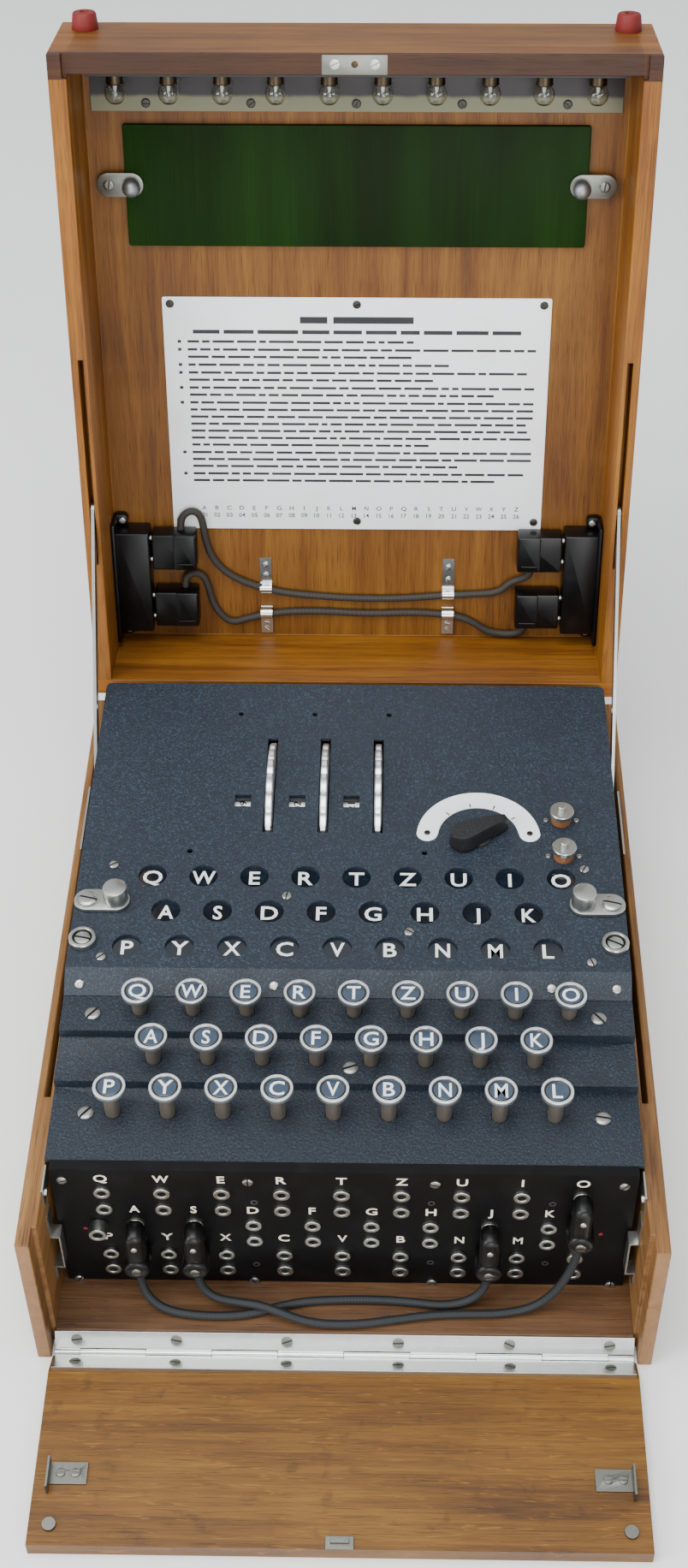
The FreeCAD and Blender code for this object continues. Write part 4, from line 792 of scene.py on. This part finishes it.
hingeScrews = {"x": (-122, -76.5, -26, 24.7, 75.3, 120.8), "turns": (8, -12, 20, 4, -25, 12),
               "radius": 2.7, "high": 0.13, "out": -0.15}
for name, seat, up, body, side in (("hingeScrewsCase", onCaseLeaf, 6.4, "case", 1),
                                   ("hingeScrewsFlap", onFlapLeaf, 7.4, "flap", -1)):
    places = [(side * x, up, hingeScrews["out"], angle)
              for x, angle in zip(hingeScrews["x"], hingeScrews["turns"])]
    piece(name, screws(places, hingeScrews["radius"], hingeScrews["high"], seat, 0.8),
          [plateSteel, screwDark], body)
print("case made")


# deck, keys, lamps and plugboard

cadPiece("deckPlate", "keyboard_deck", deckCrackle, "case", 0.45,
         lambda middle, size: size.x > 100)
piece("deckScrews", screws(((-116.5, -58, 110, 50), (115, -58, 110, -50), (2, -83.5, 105, 20),
                            (-115.5, -106, 100, 50), (114.5, -106, 100, -10)), 3.6, 1.3,
                           slot=1.1), [screwGrey, screwDark], "case",
      "keyboard_deck")
cadPiece("plugboardPlate", "plugboard", boardBlack, "case", 0.2)
cadPiece("plugboardSockets", "plugboard_sockets", nickelWorn, "case", 0.5,
         lambda middle, size: size.x > 5.5 or size.y > 1.5)
piece("boardScrews", screws([(x, z, 0, 20 + 35 * k) for k, (x, z) in enumerate(
    (x, z) for x in (-123.5, -42, 40, 122.5) for z in (92.5, 12.4))], 2.4, 1, onBoard, 0.7),
      [screwGrey, screwDark], "case", "plugboard_sockets")

boardMarks = {"letters": (5.2, 1.08, 0.018, 0.08),
              "pits": ((-39.8, 76.4), (-40.6, 25.9), (38.6, 77.3), (39.1, 29.1), (92.1, 77.8),
                       (91.5, 29.5)), "dots": ((-116.7, 54.1), (115, 54.2))}


def makeBoardMarks():
    whole = bmesh.new()
    for letter, key, lamp, mark in keyPlaces():
        lettering(whole, letter, onBoard @ move(*mark), *boardMarks["letters"])
    piece("boardLetters", whole, letterCream, "case")
    whole = bmesh.new()
    for x, z in boardMarks["pits"]:
        put(whole, spun([(0.9, 0.02), (1.5, 0.12), (1.7, 0)], 18), onBoard @ move(x, z), 0)
    for x, z in boardMarks["dots"]:
        put(whole, spun([(0, 0.12), (0.8, 0.1), (1, 0)], 16), onBoard @ move(x, z), 1)
    piece("boardMarks", whole, [framePaint, redMark], "case")


keyShape = {"ring": ((5.6, -1.3), (5.85, -0.4), (6.0, -0.05), (6.6, 0), (7.1, -0.04),
                     (7.3, -0.35), (7.3, -2.4), (7.1, -2.9), (6.3, -3.8), (3.6, -4.2)),
            "letters": (7.4, 1.0, 0.012, 0.06)}


def makeKey(letter, place):
    whole = bmesh.new()
    here, top = move(*place), place[2]
    put(whole, spun([*keyShape["ring"], (3.4, -4.3), (3.4, -41.6), (3, -42), (0, -42)], 36),
        here, 0)
    for face in whole.faces:
        if face.calc_center_median().z < top - 1:
            face.material_index = 3 if face.calc_center_median().z > top - 4.25 else 4
    put(whole, spun([(0, -0.5), (4.8, -0.52), (5.1, -0.6)], 36), here, 1)
    # a narrow groove between the disc and the rim, finished dark as painted shade
    put(whole, spun([(5.1, -0.6), (5.2, -1.15), (5.65, -1.2)], 36), here, 5)
    lettering(whole, letter, here @ move(0, 0, -0.5), *keyShape["letters"], 2)
    piece("key" + letter, whole, [keyRing, keyDisc, letterWhite, keySide, stemSteel, screwDark],
          "key_body_" + letter.lower(), "key_" + letter.lower())


lampShape = {"letters": (8.3, 1.06, 0.016, 0.06)}


def makeLampLetters():
    cadPiece("letterStrip", "cover_fittings", lampFilm, "cover", 0,
             lambda middle, size: size.x > 200)
    whole = bmesh.new()
    for letter, key, lamp, mark in keyPlaces():
        lettering(whole, letter, move(*lamp), *lampShape["letters"])
    piece("lampLetters", whole, letterWhite, "cover")


makeBoardMarks()
for letter, key, lamp, mark in keyPlaces():
    makeKey(letter, key)
makeLampLetters()
print("keys, lamps and plugboard made")


# rotors

rotorShape = {"y": 83.0, "z": 78.5, "pitch": 27.1, "first": -41.2, "wheelRadius": 48.5,
              "wheelHalf": 1.9, "drumRadius": 36.0, "drumWide": 22.8, "bore": 4.06,
              "lead": 1.5, "digits": (3.6, 1.1, 0.02, 0.04),
              "shadowStrip": (9.6, 2.5, 0.8), "shadowStripAt": (-13.3, 74.8, 114.65)}


def makeWindowShadowStrips():
    # dark strips under the cover: painted shadow on the rear half of each letter window
    sizes, whole = rotorShape, bmesh.new()
    aside, y, z = sizes["shadowStripAt"]
    for place in range(3):
        put(whole, pad(sizes["shadowStrip"], 0.4, 2, 0.1),
            move(sizes["first"] + sizes["pitch"] * place + aside, y, z))
    piece("windowShadowStrips", whole, framePaint, "cover")


def makeRotor(name, node, body, place, start):
    # drum and letter ring to the left of the notched finger wheel, turned about x
    sizes = rotorShape
    seat = move(sizes["first"] + sizes["pitch"] * place, sizes["y"], sizes["z"]) @ turn(90, "Y")
    whole = bmesh.new()
    half, rim, bore = sizes["wheelHalf"], sizes["wheelRadius"], sizes["bore"]
    left, radius = -half - sizes["drumWide"], sizes["drumRadius"]
    put(whole, spun([(bore, left), (radius - 1.5, left), (radius - 1, left + 0.5),
                     (radius - 1, left + 6.6), (radius, left + 6.8), (radius, left + 16),
                     (radius - 1, left + 16.2), (radius - 1, -half), (bore, -half),
                     (bore, left)], 78), seat, 1)
    for face in whole.faces:
        if (face.calc_center_median() - seat.translation).yz.length > radius - 0.4:
            face.material_index = 2
    wheel = spun([(bore, -half), (rim - 3.4, -half), (rim - 3, -1.6), (rim - 0.5, -1.6),
                  (rim, -1.1), (rim, 1.1), (rim - 0.5, 1.6), (rim - 3, 1.6), (rim - 3.4, half),
                  (bore, half), (bore, -half)], 156)
    for vertex in wheel.verts:  # twenty-six thumb notches
        x, y, z = vertex.co
        reach = vertex.co.xy.length
        if reach > rim - 2:
            wave = abs(math.sin(math.atan2(y, x) * 13))
            shrink = 1 - 1.5 * max(0, 1 - wave * 1.55) / reach
            vertex.co.xy = x * shrink, y * shrink
    put(whole, wheel, seat, 0)
    for k in range(26):
        angle = 360 / 26 * (k + start) + sizes["lead"]
        spot = seat @ turn(angle, "Z") @ move(radius + 0.02, 0, left + 11.4) @ turn(90, "Y")
        lettering(whole, f"{k + 1:02d}", spot @ turn(180, "Z") @ turn(90, "Z"),
                  *sizes["digits"], 3)
    piece(name, whole, [keyRing, framePaint, enamel, ink], body, node)


for place, side in enumerate(("left", "middle", "right")):
    makeRotor("rotor" + side.capitalize(), "rotor_" + side, f"rotor_{side}_body", place,
              (6, 13, 20)[place] + 0.14)
print("rotors made")


# top cover

cadPiece("topCover", "top_cover", crackleBlack, "cover", 0.5)

scaleShape = {"x": 62.5, "y": 47.5, "outer": 30.4, "inner": 19.9, "ends": 2.7}


def makeScale():
    # an enamelled band with round ends, each held by a screw
    x, y, outer, inner, ends = scaleShape.values()
    here = move(x, y, coverTop)
    part = spun([(inner, 0), (outer, 0), (outer, 0.35), (outer - 0.3, 0.6), (inner + 0.3, 0.6),
                 (inner, 0.35), (inner, 0)], 96)
    cutOff(part, (0, ends, 0), (0, 1, 0))
    whole = bmesh.new()
    put(whole, part, here, 0)
    middle, half = (inner + outer) / 2, (outer - inner) / 2
    for side in (-1, 1):
        end = spun([(0, 0), (half, 0), (half, 0.35), (half - 0.3, 0.6), (0, 0.6)], 40)
        cutOff(end, (0, 0, 0), (0, -1, 0), False)
        put(whole, end, here @ move(side * middle, ends), 0)
        put(whole, screwHead(1.5, 0.6, 0.5), here @ move(side * middle, 2.4, 0.6), 2)
    for angle in (36, 68, 100, 134):  # one tick for each position
        put(whole, pad((2.4, 0.6, 0.06), edge=0),
            here @ turn(angle, "Z") @ move(inner + 1.6, 0, 0.6), 1)
    piece("switchScale", whole, [enamel, ink, screwDark], "cover",
          "cover_fittings")


knobShape = {"turn": 27, "long": 31.0, "high": 8.5, "heel": 7.0, "tip": 2.2}


def makeKnob():
    # a pointer grip: its sides run from a round heel to a narrow tip
    turned, long, high, heel, tip = knobShape.values()
    part = bmesh.new()
    bmesh.ops.create_cube(part, size=1,
                          matrix=move(0, 0, 1 + high / 2) @ stretch(long, 2 * heel, high))
    bmesh.ops.subdivide_edges(part, edges=part.edges[:], cuts=9, use_grid_fill=True)
    middle = heel - long / 2
    for vertex in part.verts:
        x, y, z = vertex.co
        lift = (z - 1) / high
        if x < middle:
            share = max(0.25, max(0.0, 1 - ((middle - x) / heel) ** 2) ** 0.5)
        else:
            reach = (x - middle) / (long - heel)
            share = 1 - (1 - tip / heel) * reach
        vertex.co.y = y * share * (1 - 0.14 * lift)
        vertex.co.z = z - lift * 1.4 * max(0, x / (long / 2)) ** 2
    bmesh.ops.smooth_vert(part, verts=part.verts, factor=0.5, use_axis_x=True, use_axis_y=True,
                          use_axis_z=True)
    whole = bmesh.new()
    here = move(scaleShape["x"], scaleShape["y"], coverTop)
    put(whole, part, here @ turn(turned, "Z"), 0)
    put(whole, spun([(0, -4.5), (3, -4.5), (3, 0.1), (6.4, 0.15), (6.4, 1), (5.8, 1.4),
                     (0, 1.4)], 32), here, 0)
    piece("switchKnob", whole, knobCrackle, "switch", "switch_knob", 60)


terminalShape = {"x": 103.5, "y": (59.5, 35.5), "screws": (-7.5, 7.5)}


def makeTerminals():
    whole = bmesh.new()
    for y in terminalShape["y"]:
        here = move(terminalShape["x"], y, coverTop)
        put(whole, spun([(0, 0), (5, 0), (5, 3.9), (4.6, 4.5), (0, 4.5)], 32), here, 0)
        nut = spun([(0, 4.5), (5.4, 4.5), (6, 4.9), (6, 7), (5.6, 7.4), (2.4, 7.5),
                    (0, 7.5)], 72)
        mill(nut, 5.9, 0.975)
        put(whole, nut, here, 1)
        put(whole, spun([(0, 7.4), (2.2, 7.4), (2.2, 10.4), (1.9, 10.7), (0, 10.8)], 24),
            here, 1)
        for aside in terminalShape["screws"]:
            put(whole, screwHead(1.3, 0.7, 0.4, 16), here @ move(aside, 0), 1)
    piece("terminals", whole, [amber, nickelWorn], "cover", "cover_fittings")


coverScrews = {"small": ((-114.5, 27.2, 0, 30), (113, 27, 0, 60), (-30, 8.2, 0, 80),
                         (28.4, -13.6, 0, -30), (113, -31, 0, -70), (-115, -30.5, 0, 40)),
               "lip": (-124, -34, 94, 124), "lipAt": (-43.1, 113.18), "lipFall": (7.2, 11),
               "captive": (-124.5, 124.5), "captiveY": -20.7}


def makeCoverScrews():
    whole = screws(coverScrews["small"], 2.3, 1.0, move(0, 0, coverTop), 0.7)
    slope = math.degrees(math.atan2(*coverScrews["lipFall"]))
    for x in coverScrews["lip"]:
        put(whole, screwHead(2.1, 0.9, 0.5),
            move(x, *coverScrews["lipAt"]) @ turn(slope, "X") @ turn(35, "Z"))
    for x in coverScrews["captive"]:
        here = move(x, coverScrews["captiveY"], coverTop)
        put(whole, spun([(4.6, 0), (6.2, 0), (6.4, 0.4), (6.4, 2.7), (6, 3.2), (5, 3.3),
                         (4.7, 3), (4.6, 0)], 40), here)
        put(whole, screwHead(4.2, 2.6, 1.0, 28, 1), here @ turn(-12 if x < 0 else -28, "Z"))
    piece("coverScrews", whole, [nickelWorn, screwDark], "cover",
          "cover_fittings")


leverShape = {"x": 124.5, "y": 3.3, "plate": (26.5, 13, 1.8), "plateX": 6.75, "knobX": 13.5}


def makeLever(side, name, node, body):
    # a flat lever with its tall milled knob and a broad slotted screw
    whole = bmesh.new()
    x, y, plate, plateX, knobX = leverShape.values()
    here = move(side * x, y, coverTop) @ turn(0 if side < 0 else 180, "Z")
    put(whole, pad(plate, 6.5, 10, 0.35), here @ move(plateX, 0, 0.3))
    knob = spun([(0, 2.1), (5.4, 2.1), (5.8, 2.5), (5.8, 10.2), (5.4, 10.9), (4.8, 11.1),
                 (0, 11.1)], 72)
    mill(knob, 5.7, 0.98)
    put(whole, knob, here @ move(knobX, 0))
    put(whole, rod(2.2, -3.5, 0.6, 18), here)
    put(whole, screwHead(4.6, 1.5, 1.0, 32, 1), here @ move(0, 0, 2.05) @ turn(-14, "Z"))
    put(whole, spun([(4.9, 2.05), (5.5, 2.05), (5.5, 2.4), (4.9, 2.4), (4.9, 2.05)], 32), here)
    piece(name, whole, [nickelWorn, screwDark], body, node)


makeWindowShadowStrips()
makeScale()
makeKnob()
makeTerminals()
makeCoverScrews()
for side, word in (-1, "left"), (1, "right"):
    makeLever(side, "release" + word.capitalize(), "release_lever_" + word, "lever_" + word)
print("cover made")


# the lid and what is kept in it

cadPiece("lidBoards", "lid_boards", lidOak, "lid", 0.7)


def inLid(middle):
    return onLid.inverted() @ middle


def wantedStrip(middle, size):
    return size.x > 220 and inLid(middle).y > 290


def wantedHinge(middle, size):
    pin = 1 < size.x < 4 and inLid(middle).y > 100 and abs(middle.x) > 130
    return pin or inLid(middle).y < 5


cadPiece("lampStrip", "lid_fittings", stripAluminium, "lid", 0.2, wantedStrip)
cadPiece("lidHinges", "lid_fittings", nickelWorn, "lid", 0.12, wantedHinge)

lidParts = {"stripScrews": (-101.5, -50.8, 0, 50.8, 101.5), "cardScrewsX": (-95, 0, 95),
            "cardScrewsU": (80, 202.5), "card": (198.0, 131.0, 0.8), "cardU": 140.5,
            "catch": (30, 9, 0.35), "catchAt": (0, 335, 47.25), "filter": (227, 60.5, 3),
            "filterU": 263.65, "footAt": (127.5, 340, 6.2)}


def makeCatchPlate():
    # flush plate in the rail, its two screws and the brass stud between them
    whole = bmesh.new()
    here = onLid @ move(*lidParts["catchAt"])
    put(whole, pad(lidParts["catch"], 0.4, 2, 0.1), here @ move(0, -0.2, -0.28), 0)
    for side in (-1, 1):
        put(whole, screwHead(2.3, 0.16, 0.5, 24), here @ move(side * 9.2, 0) @ turn(25, "Z"), 2)
    put(whole, spun([(0, 0), (1.75, 0), (1.75, 0.05), (1.2, 0.14), (0, 0.2)], 20), here, 1)
    piece("catchPlate", whole, [plateSteel, brassPaintedShade, nickelWorn], "lid",
          "lid_fittings")


def makeLidScrews():
    whole = screws([(x, 304, 1.2, 35 * k) for k, x in enumerate(lidParts["stripScrews"])],
                   2.2, 1, onLid, 0.5)
    for x in lidParts["cardScrewsX"]:
        for u in lidParts["cardScrewsU"]:
            put(whole, screwHead(2.1, 0.9, 0.5), onLid @ move(x, u, 0.8) @ turn(x * 3 + u, "Z"))
    piece("lidScrews", whole, screwDark, "lid", "lid_fittings")


def dash(whole, x, u, wide, high):
    put(whole, pad((wide, high, 0.05), edge=0), onLid @ move(x + wide / 2, u, 0.8), 0)


def makeCard():
    wide, long, thick = lidParts["card"]
    whole = bmesh.new()
    put(whole, pad((wide, long, thick), 1, 3, 0.15), onLid @ move(0, lidParts["cardU"]))
    piece("card", whole, cardWhite, "lid", "lid_fittings")
    marks = bmesh.new()
    for x, width in ((-29, 14), (-12, 41)):  # a heading as plain bars
        dash(marks, x, 194, width, 3.6)
    x = -84
    while x < 78:
        width = random.uniform(7, 22)
        dash(marks, x, 187.5, min(width, 84 - x), 2.1)
        x += width + 2
    u, lines = 182.2, (1, 2, 1, 2, 2, 7, 3, 2)
    for count in lines:  # numbered paragraphs of bars
        dash(marks, -92, u, 1.8, 1.6)
        for line in range(count):
            x, end = -87, 88 if line < count - 1 else random.uniform(20, 80)
            while x < end:
                width = random.uniform(3, 13)
                dash(marks, x, u, min(width, end + 4 - x), 1.35)
                x += width + 1.5
            u -= 4.0
        u -= 0.35
    for k in range(26):  # the alphabet over its numbers
        at = -82 + 6.7 * k
        lettering(marks, chr(65 + k), onLid @ move(at, 87.5, 0.8), 2.4, 1.1, 0.01, 0.05, 0)
        lettering(marks, f"{k + 1:02d}", onLid @ move(at, 83.2, 0.8), 2.4, 1.0, 0.01, 0.05, 0)
    piece("cardPrint", marks, ink, "lid")


tieShape = {"strap": (6.4, 0.7), "ties": ((-50, 39, 57, 1), (50, 36, 57, 1),
                                          (-50, 23.6, 10.5, -1), (50, 23.6, 10.5, -1))}


def makeTies():
    whole = bmesh.new()
    for x, cordU, far, side in tieShape["ties"]:
        line = [(cordU - side * 3.6, 0.1), (cordU - side * 2.6, 0.2)]
        line += [(cordU - side * 2.65 * math.cos(math.radians(a)),
                  2.3 + 2.65 * math.sin(math.radians(a))) for a in range(0, 181, 20)]
        line += [(cordU + side * 2.8, 0.4), (far, 0.35)]
        put(whole, strap(line, *tieShape["strap"]), onLid @ move(x, 0), 0)
        for k in (0.3, 0.72):
            put(whole, screwHead(1.6, 0.9, 0.45, 16),
                onLid @ move(x, cordU + side * 3 + (far - cordU - side * 3) * k, 0.6)
                @ turn(50 * k * side, "Z"), 0)
    piece("cordTies", whole, nickel, "lid", "lid_fittings")


bulbShape = {"u": 311.0, "out": 10.0, "pitch": 25.5, "radius": 5.2}


def makeBulbs():
    # a thin glass globe that hangs down the lid from its metal cap, pushed through the shelf
    glass, caps = bmesh.new(), bmesh.new()
    u, out, pitch, radius = bulbShape.values()
    for k in range(10):
        here = onLid @ move((k - 4.5) * pitch, u, out) @ turn(90, "X")
        outer = [(3.1, -6.4), (3.2, -5.2)]
        outer += [(radius * math.cos(math.radians(a)), radius * math.sin(math.radians(a)))
                  for a in range(-48, 91, 12)]
        inner = [(max(0, r - 0.35), z - 0.3 * (z > 4)) for r, z in reversed(outer)]
        put(glass, spun([*outer, *inner, outer[0]], 28), here)
        put(caps, spun([(0, -15), (1.6, -15), (2.2, -14.4), (3.9, -13.6), (4, -6), (4.2, -5.2),
                        (3.9, -4.7), (3.2, -4.6), (0, -4.6)], 24), here, 0)
        put(caps, spun([(0, -4.6), (1.1, -4.5), (0.7, -1.2), (0, -1)], 12), here, 1)
    piece("bulbGlobes", glass, bulbGlass, "lid", "spare_bulbs", 60)
    piece("bulbCaps", caps, [brassPaintedShade, enamel], "lid", "spare_bulbs")


def makeFilter():
    whole = bmesh.new()
    put(whole, pad(lidParts["filter"], 1.2, 3, 0.4), onLid @ move(0, lidParts["filterU"]))
    piece("filterPanel", whole, filterGreen, "lid", "filter_panel")


clipShape = {"x": 121.5, "u": 264.85, "plate": (23, 12, 1.4), "plateX": 5.5, "knobX": 11.5}


def makeClip(side, name, node, body):
    # a plate on a post, turned by a waisted knob
    whole = bmesh.new()
    x, u, plate, plateX, knobX = clipShape.values()
    here = onLid @ move(side * x, u) @ turn(180 if side > 0 else 0, "Z")
    put(whole, rod(3.5, 0, 3.3, 20), here)
    put(whole, pad(plate, 5.9, 9, 0.3), here @ move(plateX, 0, 3.3))
    put(whole, screwHead(2.7, 0.8, 0.8, 24, 2), here @ move(0, 0, 4.7) @ turn(80, "Z"))
    put(whole, spun([(0, 4.6), (2.9, 4.6), (2.7, 5.1), (2, 5.7), (2, 6.2), (3.3, 6.8),
                     (4.2, 7.9), (4.5, 9.3), (4.4, 10.7), (3.8, 12), (2.8, 13.1),
                     (1.5, 13.9), (0, 14.2)], 36), here @ move(knobX, 0), 1)
    piece(name, whole, [plateSteel, keySide, screwDark], body, node)


def makeFeet():
    whole = bmesh.new()
    x, u, out = lidParts["footAt"]
    for side in (-1, 1):
        here = onLid @ move(side * x, u, out) @ turn(-90, "X")
        put(whole, spun([(0, 0), (6.1, 0), (6.3, 0.4), (6.1, 3), (5.6, 7), (5.1, 7.8),
                         (4.4, 8), (2.2, 8), (2, 7.2), (0, 7.1)], 32), here)
    piece("lidFeet", whole, rubberRed, "lid", "lid_feet")


makeCatchPlate()
makeLidScrews()
makeCard()
makeTies()
makeBulbs()
makeFilter()
for side, word in (-1, "left"), (1, "right"):
    makeClip(side, "clip" + word.capitalize(), "filter_clip_" + word, "clip_" + word)
makeFeet()
for word in ("left", "right"):
    cadPiece("stay" + word.capitalize(), "stay_" + word, screwGrey, f"stay_{word}_body",
             0.15)
print("lid made")


# CAD nodes that show as they are

kept = {"chassis": framePaint, "lamp_board": framePaint, "rotor_spindle": darkSteel}
for node, finish in kept.items():
    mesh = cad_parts[node].data
    mesh.materials.clear()
    mesh.materials.append(finish)

floorMesh = bpy.data.meshes.new("studioFloor")
ground = bmesh.new()
bmesh.ops.create_grid(ground, x_segments=1, y_segments=1, size=8)
ground.to_mesh(floorMesh)
ground.free()
studioFloor = add("studioFloor", floorMesh)
floorPaint = Finish("floorPaint", Base_Color=(*studio["floor"], 1), Roughness=0.8)
floorMesh.materials.append(floorPaint.material)
